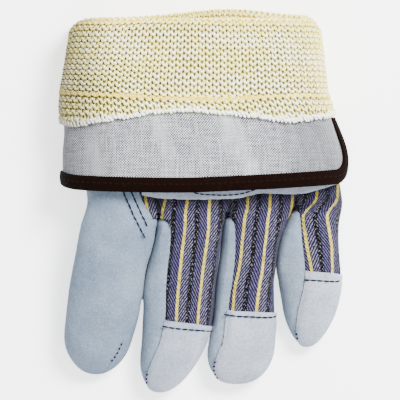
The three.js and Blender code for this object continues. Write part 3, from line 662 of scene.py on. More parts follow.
def canvasMaterial():
    look = weaveSettings
    paint = Paint("cuffWeave", 0.95, sheen=0.04, specular=0.06)
    cloth = paint.uv("cloth")
    u, v, _ = paint.parts(cloth)

    def yarns(stretch, detail=2, roughness=0.6):
        return paint.noise(cloth, 1.0, detail, roughness, stretch)

    warp, weft = yarns((1.9, 0.10, 1.0), 2, 0.7), yarns((0.10, 1.9, 1.0), 2, 0.7)
    pick = fullTurn / look["pitch"]
    checks = (u * pick + (weft - 0.5) * 1.5).sine() * (v * pick + (warp - 0.5) * 1.5).sine()
    weave = (checks * 0.5 + 0.5).ease(0.15, 0.85) * 0.7
    weave = weave + warp.ease(0.4, 0.6) * 0.2 + weft.ease(0.4, 0.6) * 0.2
    slub, cross = yarns((0.9, 0.03, 1.0)), yarns((0.05, 1.4, 1.0), 3)
    band = yarns((0.055, 0.012, 1.0), 2, 0.5)
    shade = paint.blend(weave.ease(0.2, 0.9), look["gap"], look["yarn"])
    shade = paint.blend(slub.ease(0.55, 0.7) * 0.22, shade, look["slub"])
    shade = paint.blend(cross.ease(0.5, 0.7) * 0.5, shade, look["cross"])
    shade = paint.blend(band.ease(0.5, 0.66) * 0.35, shade, look["band"])
    x, _, _ = paint.parts(paint.place())
    away = ((x + look["lit"]).size() + band * 0.012).ease(*look["awayFrom"])
    shade = paint.blend(away * 0.6, shade, look["away"])
    return paint.finish(shade, weave * 0.8 + slub * 0.5, look["relief"], 0.7)


tapeSettings = {"rib": 0.8, "relief": 0.0003, "deep": (6, 1, 0), "top": (19, 6, 2),
                "fuzz": (40, 20, 12)}


def tapeMaterial():
    look = tapeSettings
    paint = Paint("foldedTape", 0.9, specular=0.04)
    u, v, _ = paint.parts(paint.uv("cloth"))
    ribs = ((u + v * 0.6) * (fullTurn / look["rib"])).wave()
    fuzz = paint.noise(paint.place(), 500, 3)
    shade = paint.blend(ribs.ease(0.2, 0.9) * 0.6, look["deep"], look["top"])
    shade = paint.blend(fuzz.ease(0.58, 0.8) * 0.25, shade, look["fuzz"])
    return paint.finish(shade, ribs * 0.7 + fuzz * 0.4, look["relief"], 0.6)


# Marled yarn: two strands twisted, one of them taking over in patches of the knit.
# The yarn is painted darker toward the left and right ends of the mouth, as painted shade where the
# knit turns from the light: from where to where, and how much
yarnSettings = {
    "marledYarn": {"pale": (255, 253, 228), "deep": (247, 233, 88), "share": 0.69},
    # The rim and inside yarns are the marled yarn painted darker and yellower: painted shade on the
    # fold and inside the mouth
    "rimYarnPaintedShade": {"pale": (250, 242, 190), "deep": (240, 220, 90), "share": 0.6},
    "insideYarnPaintedShade": {"pale": (230, 220, 156), "deep": (222, 202, 84), "share": 0.66},
    "overlockYarn": {"pale": (255, 255, 255), "deep": (236, 236, 228), "share": 1.0},
    "yellowYarn": {"pale": (250, 232, 112), "deep": (238, 208, 50), "share": 0.62},
}
yarnGrain = {"soft": 0.16, "relief": 0.0004, "lint": (255, 253, 246),
             "left": ((0.038, 0.064), 0.78, (126, 116, 76)),
             "right": ((0.03, 0.056), 0.25, (196, 184, 128))}


def yarnMaterial(name):
    look, grain = yarnSettings[name], yarnGrain
    paint = Paint(name, 0.95, sheen=0.1, specular=0.08)
    run, around, _ = paint.parts(paint.uv("yarn"))
    lift, _, _ = paint.parts(paint.uv("lift"))
    at, knit = paint.place(), paint.uv("knit")
    rows = paint.noise(knit, 1.0, 2, 0.5, (0.75, 1.3, 1.0)) * 0.7
    rows = rows + paint.noise(knit, 1.0, 2, 0.6, (0.1, 0.24, 1.0)) * 0.5 - 0.1
    twist = ((run * 0.8 + around) * fullTurn).wave()
    fuzz = paint.noise(at, 1500, 3, 0.7)
    # The sunken legs of each loop lean toward the darker yellow strand: painted shade
    mask = rows + twist * 0.3 + fuzz * 0.2 - lift * 0.1
    mask = mask.ease(look["share"] - grain["soft"], look["share"] + grain["soft"])
    shade = paint.blend(mask, look["pale"], look["deep"])
    shade = paint.blend(fuzz.ease(0.55, 0.8) * 0.3, shade, grain["lint"])
    x, _, _ = paint.parts(at)
    # Painted shade toward the left and right ends of the mouth
    for out, key in ((x * -1, "left"), (x, "right")):
        reach, most, colour = grain[key]
        shade = paint.blend(out.ease(*reach) * most, shade, colour)
    return paint.finish(shade, twist * 0.6 + fuzz * 0.6, grain["relief"], 0.7)


# Threads, the dark threads laid as painted shadow in seams and gaps, and the knit's backing painted
# as shade: colour and roughness
plainSettings = {
    "navyThread": ((12, 15, 38), 0.6),
    "shadeThread": ((60, 68, 80), 0.9),
    "tapeThread": ((26, 12, 8), 0.8),
    "knitShade": ((88, 84, 58), 0.95),
}


def plainMaterial(name):
    colour, roughness = plainSettings[name]
    paint = Paint(name, roughness, specular=0.05)
    grain = paint.noise(paint.place(), 900, 3)
    pale = tuple(min(255, c * 1.3 + 12) for c in colour)
    shade = paint.blend(grain.ease(0.35, 0.75) * 0.4, colour, pale)
    return paint.finish(shade, grain, 0.0002, 0.6)


palmSuede, sideSuedePaintedLight, capSuede = (suedeMaterial(name) for name in suedeSettings)
twill, weave, tapeLook = stripeMaterial(), canvasMaterial(), tapeMaterial()
yarns = {name: yarnMaterial(name) for name in yarnSettings}
threads = {name: plainMaterial(name) for name in plainSettings}
print("materials made")


# Leather: a soft uneven hide, sunk along its seams. A bump is a height, a size and a seed

hideBumps = ((0.45, 13, 1), (0.16, 5.5, 2))
seamDips = {"leather": (0.7, 1.6), "cloth": (0.7, 1.5), "cap": (0.9, 1.7)}
seamPucker = 3.4


def bumps(points, rows):
    return sum(noise(points, size, seed) * height for height, size, seed in rows)


def leatherRelief(points, normal):
    return bumps(points, hideBumps) * np.clip(0.35 + normal[:, 2], 0.1, 1)


def puckers(y, pitch):
    return 0.5 + 0.5 * np.cos(y * fullTurn / pitch)


# The soft fingers lean on one another down to the rows named first
leanSettings = {"until": (-51, -69, -39), "over": 0.2, "slack": 0.16, "most": 1.3,
                "fadeDown": 9, "fadeUp": 2.5, "reach": 4}


def lean(points, normal):
    look = leanSettings
    x, y = points[:, 0], points[:, 1]
    total = 0.0
    for i, until in enumerate(look["until"]):
        left = columnAt(i, y)["right"] - look["over"]
        right = columnAt(i + 1, y)["left"] + look["over"]
        push = np.clip((right - left - look["slack"]) / 2, 0, look["most"])
        push = push * smooth((y - until) / look["fadeDown"])
        push = push * smooth((fingers[i]["crotch"] - y) / look["fadeUp"])
        middle = (left + right) / 2
        facing = np.where(x < middle, normal[:, 0], -normal[:, 0])
        near = np.abs(x - middle) < look["reach"]
        total = total + np.where(near, push * np.clip(facing, 0, 1) ** 0.5, 0)
    return total


def seamDip(points, i, kind):
    depth, width = seamDips[kind]
    y = points[:, 1]
    dip = bell(points[:, 0] - seamX(i, y), width) * depth
    dip = dip * (0.75 + 0.5 * puckers(y, seamPucker))
    return np.where(points[:, 2] > columnAt(i, y)["middle"], -dip, 0)


def addMarks(patches):
    for patch in patches:
        patch["cloth"] = np.stack([patch["arc"], patch["outer"][..., 1]], -1)
    return patches


# The index finger's own seam, stitched only near the tip, and the soft fold that leads to it
indexGroove = table(("y", "x"), (-13, -25.4), (-24, -29.2), (-34, -31.9), (-50, -33),
                    (-59.2, -36.1), (-68.5, -39.2), (-76.6, -42.7), (-83, -49))
indexFrom = -9.2
# Each mark fades in below its top row, and out above its bottom row if it has one
palmSettings = {
    "seam": {"width": 1.1, "pucker": 3.2, "depth": 0.55, "waves": 0.3, "top": -57, "fadeTop": 6},
    "crease": {"slope": 0.55, "at": 19.5, "width": 1.6, "depth": 0.45,
               "top": 2, "fadeTop": 4, "bottom": -24, "fadeBottom": 6},
    "fold": {"sunkAt": 0.8, "sunkWidth": 1.7, "ridge": 0.7, "ridgeAt": 2.2, "ridgeWidth": 1.6,
             "depth": 0.8, "top": -12, "fadeTop": 8, "bottom": -64, "fadeBottom": 10},
}


def fadeAlong(value, y, look):
    value = value * smooth((look["top"] - y) / look["fadeTop"])
    if "bottom" in look:
        value = value * smooth((y - look["bottom"]) / look["fadeBottom"])
    return value


def palmPiece():
    below = [skinPatch(i, -1, handRowsTo(f["crotch"] if i == 0 else firstFingerRow(i)),
                       atLeft, atRight, walls["leather"], 0 if i == 0 else -1)
             for i, f in enumerate(fingers)]
    crotch = fingers[0]["crotch"]
    strip = skinPatch(0, 1, handRowsTo(crotch), atLeft, seamTurn(0, -1), walls["leather"], 0)
    rows = [crotch] + fingerRows(0, indexFrom)

    def turnNear(y):
        return np.where(y < crotch, math.pi, seamTurn(0, -1)(y))

    top = skinPatch(0, 1, rows, atLeft, turnNear, walls["leather"], 0)
    under = skinPatch(0, -1, rows, atLeft, atRight, walls["leather"], 0)
    patches = addMarks(below + [strip, top, under])

    def relief(points, normal):
        x, y = points[:, 0], points[:, 1]
        line = read(indexGroove, "y", "x", y)
        seam, crease, fold = palmSettings.values()
        sewn = bell(x - line, seam["width"])
        sewn = sewn * (seam["depth"] + seam["waves"] * puckers(y, seam["pucker"]))
        creased = bell(x - y * crease["slope"] + crease["at"], crease["width"])
        folded = bell(x - line + fold["sunkAt"], fold["sunkWidth"])
        folded = folded - fold["ridge"] * bell(x - line - fold["ridgeAt"], fold["ridgeWidth"])
        sunk = (fadeAlong(sewn, y, seam) + fadeAlong(creased, y, crease) * crease["depth"]
                + fadeAlong(folded, y, fold) * fold["depth"])
        onTop = points[:, 2] > columnAt(0, y)["middle"]
        return leatherRelief(points, normal) - np.where(onTop, sunk, 0) + lean(points, normal)

    fit(sheetMesh("palmLeather", patches, relief), palmSuede, "palm")


palmPiece()
print("palm and index finger made")

clothFingers = (1, 2, 3)
archRise = 0.35    # the arch starts this far below the crotch


def fingerLeather(i):
    name = fingers[i]["name"]
    rows = fingerRows(i, firstFingerRow(i) - gaps["seam"])
    arch = np.linspace(fingers[i - 1]["crotch"] - archRise, rows[0], 8)[:-1]
    side = skinPatch(i, 1, list(arch) + rows, atLeft, seamTurn(i, -1), walls["leather"], -1, 10)
    under = skinPatch(i, -1, rows, atLeft, atRight, walls["leather"], -1, 26)

    def relief(points, normal):
        dip = seamDip(points, i, "leather")
        return leatherRelief(points, normal) + dip + lean(points, normal)

    mesh = sheetMesh(name + "Leather", addMarks([side, under]), relief)
    fit(mesh, sideSuedePaintedLight, name + "_finger_leather")


for i in clothFingers:
    fingerLeather(i)

# Each column's stripes: x of one yellow line, which one it is, and the pitch between them
stripeKeys = ("y", "x", "pitch")
stripeRows = [
    table(stripeKeys, (12, -27.3, 10.0), (2, -27.5, 10.0), (-9, -25.8, 10.3), (-20, -25, 10.3)),
    table(stripeKeys, (12, -7.4, 10.3), (0, -7.9, 10.4), (-6, -8.8, 11), (-13.5, -9.1, 11),
          (-23.4, -10.3, 11), (-42, -12.2, 10.7), (-60, -13.4, 10.2)),
    table(stripeKeys, (12, 20.6, 10.4), (-3.7, 20.0, 10.6), (-8, 19.0, 11), (-17, 18, 11.1),
          (-30, 16.6, 11.2), (-41.5, 14.2, 11.6), (-52, 13.2, 11.4)),
    table(stripeKeys, (12, 53, 10), (2, 52.7, 10), (-1.4, 51.4, 10.2), (-4.5, 48.2, 10.8),
          (-7.5, 46.2, 11.4), (-17.3, 47.4, 12), (-23.3, 48.4, 12), (-32.6, 50.4, 10.6)),
]
stripeFirst = (0, 2, 5, 8)


def stripeAt(i, x, y):
    rows = stripeRows[i]
    return stripeFirst[i] + (x - read(rows, "y", "x", y)) / read(rows, "y", "pitch", y)


# The cloth's folds run along the fingers. Its tuck is at the root of the little finger
clothSettings = {"rows": 56, "columns": 30, "hem": 0.6, "arcOver": 12, "longFold": (0.35, 4.5, 5),
                 "stretch": (1.0, 0.35, 1.0), "fold": (0.3, 9, 6), "seamsBelow": -5}
pleat = {"from": 43.6, "to": 63, "y": -3, "climb": 0.28, "rise": 1.0, "dip": 0.9,
         "riseWidth": 1.3, "dipBelow": 2.6, "dipWidth": 1.4, "lead": 2, "fadeIn": 3, "fadeOut": 6}


def backPiece():
    look = clothSettings
    strip = skinPatch(0, 1, handRowsTo(fingers[0]["crotch"]), seamTurn(0, 1), atRight,
                      walls["cloth"], 1)
    columns, count = [], look["rows"]
    for i in clothFingers:
        crotch, first = fingers[i - 1]["crotch"], firstFingerRow(i)
        leftHem, rightHem = (v - look["hem"] for v in fingers[i]["hem"])

        def turnFrom(y, i=i, crotch=crotch):
            return np.where(y >= crotch, 0.0, seamTurn(i, 1)(y))

        shaft = [lambda share, k=k, a=leftHem, b=rightHem, first=first:
                 mix(first, mix(a, b, share), (k + 1) / count) for k in range(count)]
        columns.append(skinPatch(i, 1, handRowsTo(first) + shaft, turnFrom, atRight,
                                 walls["cloth"], 1, look["columns"]))
    patches = [strip] + columns
    for patch in patches:
        i, y = patch["column"], patch["outer"][..., 1]
        below = smooth((fingers[min(i, 2)]["crotch"] - y) / look["arcOver"])
        x = mix(patch["outer"][..., 0], patch["arc"], below)
        patch["cloth"] = np.stack([stripeAt(i, x, y), y], -1)

    def relief(points, normal):
        x, y = points[:, 0], points[:, 1]
        fold = bumps(points * np.array(look["stretch"]), [look["longFold"]])
        fold = fold + bumps(points, [look["fold"]])
        for i in clothFingers:
            column = columnAt(i, y)
            inside = (x > column["left"] - 1) & (x < column["right"] + 1)
            inside = inside & (y < look["seamsBelow"])
            fold = fold + np.where(inside, seamDip(points, i, "cloth"), 0)
        away = y - (pleat["y"] + pleat["climb"] * (x - pleat["from"]))
        near = smooth((x - pleat["from"] + pleat["lead"]) / pleat["fadeIn"])
        near = near * smooth((pleat["to"] - x) / pleat["fadeOut"])
        dip = pleat["dip"] * bell(away + pleat["dipBelow"], pleat["dipWidth"])
        fold = fold + near * (pleat["rise"] * bell(away, pleat["riseWidth"]) - dip)
        return fold + lean(points, normal)

    piece = fit(sheetMesh("stripedBack", patches, relief), twill, "fabric_back")


backPiece()
print("finger leathers and striped back made")

# A cap stands proud of the cloth, drops at its cut edge and again where its hem is sewn
capSettings = {"raise": 0.75, "full": 1.25, "hem": 0.4, "edgeDrop": 0.3, "edgeWidth": 0.4,
               "sewnDrop": 0.5, "sewnAt": 2.7, "sewnWidth": 0.6, "tipDrop": 0.2, "bumps": 0.9,
               "rows": {1: 12, 2: 12, 3: 16}, "crowd": 1.3, "columns": 30}


def capPiece(i):
    look, name, roundFrom = capSettings, fingers[i]["name"], fingers[i]["roundFrom"]
    leftHem, rightHem = (v - look["hem"] for v in fingers[i]["hem"])
    count = look["rows"][i]
    shaft = [lambda share, k=k: mix(mix(leftHem, rightHem, share), roundFrom,
                                    (k / count) ** look["crowd"]) for k in range(count)]

    def coat(i, half, turn, y):
        toTip = clamp01((roundFrom - y) / (roundFrom - fingers[i]["tip"]))
        back = mix(leftHem, rightHem, turn / math.pi) - y
        shape = look["full"] - look["edgeDrop"] * bell(back, look["edgeWidth"])
        shape = shape - look["sewnDrop"] * bell(back - look["sewnAt"], look["sewnWidth"])
        return look["raise"] * shape * (1 - look["tipDrop"] * toTip)

    patch = skinPatch(i, 1, shaft + fingerRows(i, roundFrom), seamTurn(i, 1), atRight,
                      walls["leather"], 1, look["columns"], coat)

    def relief(points, normal):
        dip = seamDip(points, i, "cap")
        return leatherRelief(points, normal) * look["bumps"] + dip + lean(points, normal)

    mesh = sheetMesh(name + "Cap", addMarks([patch]), relief)
    fit(mesh, capSuede, name + "_fingertip")


for i in clothFingers:
    capPiece(i)


strapSettings = {"soften": 3.0, "lift": 0.35, "ragged": (0.25, 1.6, 12), "fadeLeft": 6,
                 "fadeRight": 14, "edgeThinner": 0.45, "bump": (0.2, 5, 3)}


def strapLine():
    y, look = strap["middle"], strapSettings
    first = float(turnAt(0, strap["from"], y))
    spans = ((0, first, 1), (1, 0, 1), (2, 0, 1), (3, 0, strap["last"]))
    line = np.concatenate([skin(i, 1, np.linspace(start, stop * math.pi, 60), y,
                                -strap["clear"], 1) for i, start, stop in spans])
    x = np.linspace(line[0, 0], line[-1, 0], 240)
    z = np.interp(x, line[:, 0], line[:, 2])
    weight = bell(x[:, None] - x[None, :], look["soften"])
    calm = (weight * z).sum(1) / weight.sum(1)
    ends = smooth((x - x[0]) / look["fadeLeft"]) * smooth((x[-1] - x) / look["fadeRight"])
    return x, mix(z, np.maximum(calm, z), ends) + look["lift"] * ends


strapX, strapZ = strapLine()


def onStrap(x, y, height):
    base = skin(1, 1, math.pi / 2, strap["middle"], 0.0, 1)[2]
    base = base - skin(1, 1, math.pi / 2, y, 0.0, 1)[..., 2]
    return np.stack([x, y, np.interp(x, strapX, strapZ) - base + height], -1)


def strapPiece():
    share = np.linspace(0, 1, 12)[:, None]
    height, size, seed = strapSettings["ragged"]
    low = read(strapRows, "x", "y", strapX) + flatNoise(strapX, 0 * strapX, size, seed) * height
    y = mix(strap["top"], low[None, :], share)
    x = np.broadcast_to(strapX, y.shape)
    thin = strap["thick"] * (1 - strapSettings["edgeThinner"] * share ** 6)
    patch = {"outer": onStrap(x, y, thin), "inner": onStrap(x, y, 0 * y), "arc": x}
    mesh = sheetMesh("knuckleStrap", addMarks([patch]),
                     lambda points, normal: bumps(points, [strapSettings["bump"]]))
    fit(mesh, capSuede, "knuckle_strap")


strapPiece()

thumbSettings = {"rowStep": 1.5, "around": 48, "closed": 0.08, "bump": (0.3, 11, 4)}


def thumbPiece():
    look, quarter = thumbSettings, math.pi / 2
    root, rootFrom, tipFrom, tip = (thumb[k] for k in ("root", "rootRoundFrom", "roundFrom", "tip"))
    rows = np.concatenate([
        root - (root - rootFrom) * (1 - np.cos(np.linspace(0, quarter, 8))),
        np.arange(rootFrom - 1, tipFrom, -look["rowStep"]),
        tipFrom - (tipFrom - tip) * np.sin(np.linspace(0, quarter, 12))])
    turn = np.linspace(0, fullTurn, look["around"] + 1)[:-1]
    y, size = rows[:, None], len(turn)
    left, right, low, high = (read(thumb["rows"], "y", key, rows)[:, None]
                              for key in ("left", "right", "low", "high"))
    toTip = clamp01((tipFrom - y) / (tipFrom - tip))
    toRoot = clamp01((y - rootFrom) / (root - rootFrom))
    shrink = np.maximum(look["closed"], (1 - np.maximum(toTip, toRoot) ** 2) ** 0.5)
    wide, tall = (right - left) / 2 * shrink, (high - low) / 2 * shrink
    c, s = np.cos(turn)[None, :], np.sin(turn)[None, :]
    x = (left + right) / 2 + wide * np.sign(c) * np.abs(c) ** (2 / fingerRound)
    z = (low + high) / 2 + tall * np.sign(s) * np.abs(s) ** (2 / fingerRound)
    points = np.stack([x, np.broadcast_to(y, x.shape), z], -1).reshape(-1, 3)
    centre, last = len(points), len(points) - size
    points = np.vstack([points, points[:size].mean(0), points[-size:].mean(0)])
    quads = np.concatenate([gridQuads(len(rows), size, closedColumns=True),
                            endFan(0, size, centre), endFan(last, size, centre + 1, True)])
    points[:, 2] = np.maximum(points[:, 2] + bumps(points, [look["bump"]]), 0)
    fit(cleanMesh("thumbLeather", points, quads, {}), palmSuede, "thumb")


thumbPiece()
print("caps, knuckle strap and thumb made")


# The folded cuff: a ring whose stations run from -1 at the slit, below, to 1 at the slit, above

ringCount = 160
ringTurn = math.pi * (1 + 2 * np.arange(ringCount + 1) / ringCount)
ringAbove = np.arange(ringCount + 1) > ringCount / 2
ringPower = np.where(ringAbove, 2 / cuffRound["above"], 2 / cuffRound["below"])
ringX = np.sign(np.cos(ringTurn)) * np.abs(np.cos(ringTurn)) ** ringPower
ringZ = np.sign(np.sin(ringTurn)) * np.abs(np.sin(ringTurn)) ** ringPower
halfRing = 150


def ringPoint(at, y, inset=0.0):
    at, y, inset = np.broadcast_arrays(np.asarray(at, float), np.asarray(y, float),
                                       np.asarray(inset, float))
    shape = at.shape
    at, y, inset = (v.reshape(-1) for v in (at, y, inset))
    left, right, high = (read(cuffRows, "y", key, y)[:, None] for key in ("left", "right", "high"))
    reach = np.where(ringAbove, high - slit["floor"], slit["floor"] + cuffRound["pressed"])
    x = (left + right) / 2 + (right - left) / 2 * ringX
    z = np.maximum(0, slit["floor"] + reach * ringZ)
    lengths = runAlong(np.hypot(np.diff(x), np.diff(z)))
    below, total = lengths[:, ringCount // 2], lengths[:, -1]
    a = np.clip(at, -1, 1)
    each, k, share = stepAt(lengths, np.where(a <= 0, -a * below, total - a * (total - below)))
    before, after = (k - 4) % ringCount, (k + 3) % ringCount
    along = unit(np.stack([x[each, after] - x[each, before], z[each, after] - z[each, before]], -1))
    px = mix(x[each, k - 1], x[each, k], share) - along[:, 1] * inset
    pz = mix(z[each, k - 1], z[each, k], share) + along[:, 0] * inset
    return np.stack([px, y, pz], -1).reshape(shape + (3,))


def ringHalfLength(sign):
    line = ringPoint(np.linspace(0, sign, 200), 15.0)
    return np.linalg.norm(np.diff(line, axis=0), axis=1).sum()


halfLengths = {sign: ringHalfLength(sign) for sign in (1, -1)}


def halfAt(at):
    return np.where(at < 0, halfLengths[-1], halfLengths[1])


def edgeAt(key, at):
    return read(edgeRows, "at", key, at)


def canvasEdge(at):
    return edgeAt("tape", at) + walls["tape"] + gaps["tape"]


# The canvas goes in under the knit from this far before the knit's edge, over this length
tuck = {"before": 17, "over": 15.5}


def canvasInset(at, y):
    underKnit = smooth((y - edgeAt("knit", at) + tuck["before"]) / tuck["over"])
    return mix(walls["tape"] + gaps["tape"], walls["knit"] + gaps["seam"], underKnit)


slitAt = 1 - slit["half"] / halfRing


def closeTop(at):
    return edgeAt("knit", at) - 1.5


def cutEdge(at):
    beside = (slitAt - np.abs(at)) * halfAt(at)
    drop = slit["radius"] - np.clip(beside, 0, slit["radius"])
    return canvasEdge(at) + slit["radius"] - np.sqrt(slit["radius"] ** 2 - drop ** 2)


canvasSettings = {"rows": 26, "stations": 150, "nearCorner": (0.4, 0.8, 1.4, 2.2, 4.2, 6.4),
                  "upper": (50, 60, 71), "gather": 0.75, "gatherPitch": 6.5, "wander": (3, 22, 7),
                  "gatherFrom": 20, "gatherTo": 48, "sag": (0.6, 16, 8), "stretch": (1.0, 0.4, 1.0)}


def canvasPiece():
    look = canvasSettings
    side = slitAt * np.linspace(0, 1, look["stations"])
    corner = slitAt - np.array(look["nearCorner"]) / halfRing
    side = np.unique(np.concatenate([side, corner]))
    at = np.concatenate([-side[:0:-1], side])
    bridgeAt = np.linspace(slitAt, 2 - slitAt, 9)
    bridgeAt = np.where(bridgeAt > 1, bridgeAt - 2, bridgeAt)

    def upper(places):
        return np.stack([closeTop(places)] + [np.full_like(places, y) for y in look["upper"]])

    def patchOf(places, lines):
        places = np.broadcast_to(places, lines.shape)
        inset = canvasInset(places, lines)
        return {"outer": ringPoint(places, lines, inset),
                "inner": ringPoint(places, lines, inset + walls["canvas"]),
                "cloth": np.stack([places * halfAt(places), lines], -1)}

    def relief(points, normal):
        x, y = points[:, 0], points[:, 1]
        gather = np.sin(x * fullTurn / look["gatherPitch"] + bumps(points, [look["wander"]]))
        nearKnit = smooth((y - look["gatherFrom"]) / 16) * smooth((look["gatherTo"] - y) / 6)
        right = smooth((x - 20) / 25) * 0.8 + 0.2
        sag = bumps(points * np.array(look["stretch"]), [look["sag"]])
        return gather * look["gather"] * nearKnit * right + sag

    lower = mix(cutEdge(at), closeTop(at), np.linspace(0, 1, look["rows"])[:-1, None])
    patches = [patchOf(at, np.concatenate([lower, upper(at)])), patchOf(bridgeAt, upper(bridgeAt))]
    piece = fit(sheetMesh("canvasCuff", patches, relief), weave, "canvas_cuff")


canvasPiece()


# The tape's path up one side of the slit, round its corner, along the edge and back the same way
def tapePath(count=12):
    def runUp(sign):
        top, low = float(closeTop(sign * slitAt)), float(cutEdge(slitAt))
        return [(sign * slitAt, mix(top, low, k / count) - (gaps["seam"] if k == 0 else 0),
                 math.pi / 2, sign) for k in range(count)]

    def corner(sign):
        found = []
        for k in range(count + 1):
            lean, radius = math.pi / 2 * (1 - k / count), slit["radius"]
            at = sign * (slitAt - radius * (1 - math.sin(lean)) / halfLengths[sign])
            found.append((at, float(canvasEdge(at)) + radius * (1 - math.cos(lean)), lean, sign))
        return found

    reach = slitAt - (slit["radius"] + 1.2) / halfRing
    plain = [(at, float(canvasEdge(at)), 0.0, 1) for at in np.linspace(-reach, reach, 260)]
    path = runUp(-1) + corner(-1) + plain + corner(1)[::-1] + runUp(1)[::-1]
    return np.array(path, float).T


def tapeFrame(alongRing, y, lean, sign, inward, inset):
    at = alongRing - sign * (inward * np.sin(lean)) / halfAt(alongRing)
    up = y + inward * np.cos(lean)
    return ringPoint(at, up, canvasInset(at, up) + inset)


def tapePiece():
    at, y, lean, sign = (v[:, None] for v in tapePath())
    clear, face = gaps["tape"], walls["canvas"] + gaps["tape"]
    out, deep = -gaps["tape"] - walls["tape"], walls["canvas"] + gaps["tape"] + walls["tape"]
    wide = tapeWidth + out
    # The folded profile: inward along the cloth, and depth below the cloth's face
    profile = np.array([
        (wide, out * 0.72), (wide - 0.5, out), (wide * 0.8, out * 1.1), (wide * 0.5, out * 1.22),
        (wide * 0.25, out * 1.15), (0.2, out), (-0.7, out * 0.8), (out, out * 0.25),
        (out, deep * 0.5), (out * 0.9, deep * 0.85), (0, deep), (wide * 0.5, deep * 1.02),
        (wide, deep), (wide, face), (wide / 2, face), (-clear, face), (-clear, -clear),
        (wide / 2, -clear), (wide, -clear)])
    points = tapeFrame(at, y, lean, sign, profile[None, :, 0], profile[None, :, 1])
    points[..., 2] = np.maximum(points[..., 2], 0)
    rows, size = points.shape[:2]
    quads = gridQuads(rows, size, closedColumns=True)
    run = runAlong(np.linalg.norm(np.diff(points[:, 3], axis=0), axis=1))
    across = runAlong(np.linalg.norm(np.diff(profile, axis=0), axis=1))
    uv = np.stack(np.broadcast_arrays(run[:, None], across[None, :]), -1).reshape(-1, 2)[quads]
    centre = rows * size
    flat = np.vstack([points.reshape(-1, 3), points[0].mean(0), points[-1].mean(0)])
    quads = np.concatenate([quads, endFan(0, size, centre),
                            endFan(centre - size, size, centre + 1, True)])
    uv = np.concatenate([uv, np.zeros((2 * size, 4, 2))])
    mesh = cleanMesh("cuffBinding", flat, quads, {"cloth": uv})
    piece = fit(mesh, tapeLook, "cuff_binding", 40)


tapePiece()
print("canvas cuff and binding made")

# The knit: outer leg over the canvas, the roll at the fold, inner leg inside the hand

knitSettings = {
    "wales": 86, "outerCourses": 16, "rollCourses": 5, "innerCourses": 13, "hemCourses": 4,
    "coursePitch": 2.8, "yarn": 0.66, "sides": 5, "steps": 14, "depth": 0.5, "spread": 0.17,
    "tall": 0.74, "sunk": 0.66, "behind": 1.25, "cutOff": 0.35,
}
courseCount = tuple(knitSettings[key] for key in ("outerCourses", "rollCourses", "innerCourses"))
courseStep, stationCount = 0.25, 345


def handLine(y, inset, above):
    per = 14
    half = 1 if above else -1
    turn = np.arange(per) / per * math.pi
    parts = [skin(i, half, turn[None, :], y[:, None], inset[:, None], 0) for i in range(4)]
    last = skin(3, -half, np.full((len(y), 1), math.pi), y[:, None], inset[:, None], 0)
    return np.concatenate(parts + [last], 1)


def linerInner(at, y, inset):
    at, y, inset = np.broadcast_arrays(at, y, inset)
    shape = at.shape
    at, y, inset = (v.reshape(-1) for v in (at, y, inset))
    result = np.zeros((len(at), 3))
    for above in (True, False):
        chosen = (at >= 0) == above
        if not chosen.any():
            continue
        line = handLine(y[chosen], inset[chosen] + walls["leather"] + gaps["liner"], above)
        lengths = runAlong(np.hypot(np.diff(line[..., 0]), np.diff(line[..., 2])))
        each, k, share = stepAt(lengths, np.abs(at[chosen]) * lengths[:, -1])
        result[chosen] = mix(line[each, k - 1], line[each, k], share[:, None])
    return result.reshape(shape + (3,))


def rimAt(at):
    p = ringPoint(at, 80.0)
    height = (p[..., 2] - slit["floor"]) / rim["halfHeight"]
    bow = rim["bow"] * bell(p[..., 0] - rim["bowAt"], rim["bowWidth"])
    far = np.where(height > 0, rim["back"], rim["palm"] + bow)
    return mix(rim["side"], far, smooth(np.abs(height) * rim["shoulder"]))


def knitRows(at, course, inset):
    outerCount, rollCount, innerCount = courseCount
    top = rimAt(at) - foldRadius
    edge, line = edgeAt("knit", at), edgeAt("line", at)
    hem = knitSettings["hemCourses"]
    lower = mix(edge, line, clamp01(course / hem))
    outerY = mix(lower, top, clamp01((course - hem) / (outerCount - hem)))
    turn = math.pi * clamp01((course - outerCount) / rollCount)
    innerY = mix(top, knitEnd, clamp01((course - outerCount - rollCount) / innerCount))
    outer = ringPoint(at, np.minimum(outerY, top), inset)
    inner = linerInner(at, innerY, walls["knit"] - inset)
    points = mix(outer, inner, ((1 - np.cos(turn)) / 2)[..., None])
    rise = (foldRadius - inset) * np.sin(turn)
    points[..., 1] = np.where(turn > 0, np.where(turn < math.pi, top + rise, innerY), outerY)
    return points


knitCourses = np.arange(0, sum(courseCount) + 0.01, courseStep)
stationAt, courseAt = np.meshgrid(np.linspace(-1, 1, stationCount), knitCourses, indexing="ij")
knitFace = knitRows(stationAt, courseAt, 0.0)
knitOut = unit(knitFace - knitRows(stationAt, courseAt, walls["knit"]))


def onKnit(wale, course, height):
    span = stationCount - 1
    s = (wale / knitSettings["wales"]) % 1.0 * span
    c = np.clip(course, 0, knitCourses[-1]) / courseStep
    i, j = np.minimum(s.astype(int), span - 1), np.minimum(c.astype(int), len(knitCourses) - 2)
    fs, fc = (s - i)[..., None], (c - j)[..., None]

    def pick(grid):
        return mix(mix(grid[i, j], grid[i + 1, j], fs),
                   mix(grid[i, j + 1], grid[i + 1, j + 1], fs), fc)

    return pick(knitFace) + pick(knitOut) * np.asarray(height)[..., None]


# A dark sheet just under the loops: painted shade that shows through the gaps between them
def knitBacking():
    outer = knitFace - knitOut * knitSettings["behind"]
    inner = knitFace - knitOut * walls["knit"]
    loop = np.concatenate([outer, inner[:, ::-1]], 1)
    rows, columns = loop.shape[:2]
    quads = gridQuads(rows - 1, columns, closedRows=True, closedColumns=True)
    mesh = cleanMesh("knitBacking", loop[:-1].reshape(-1, 3), quads, {})
    return fit(mesh, threads["knitShade"], "knit_liner", None)


backing = knitBacking()
runApart = 7.31    # keeps the twist of one yarn from starting where its neighbour's does


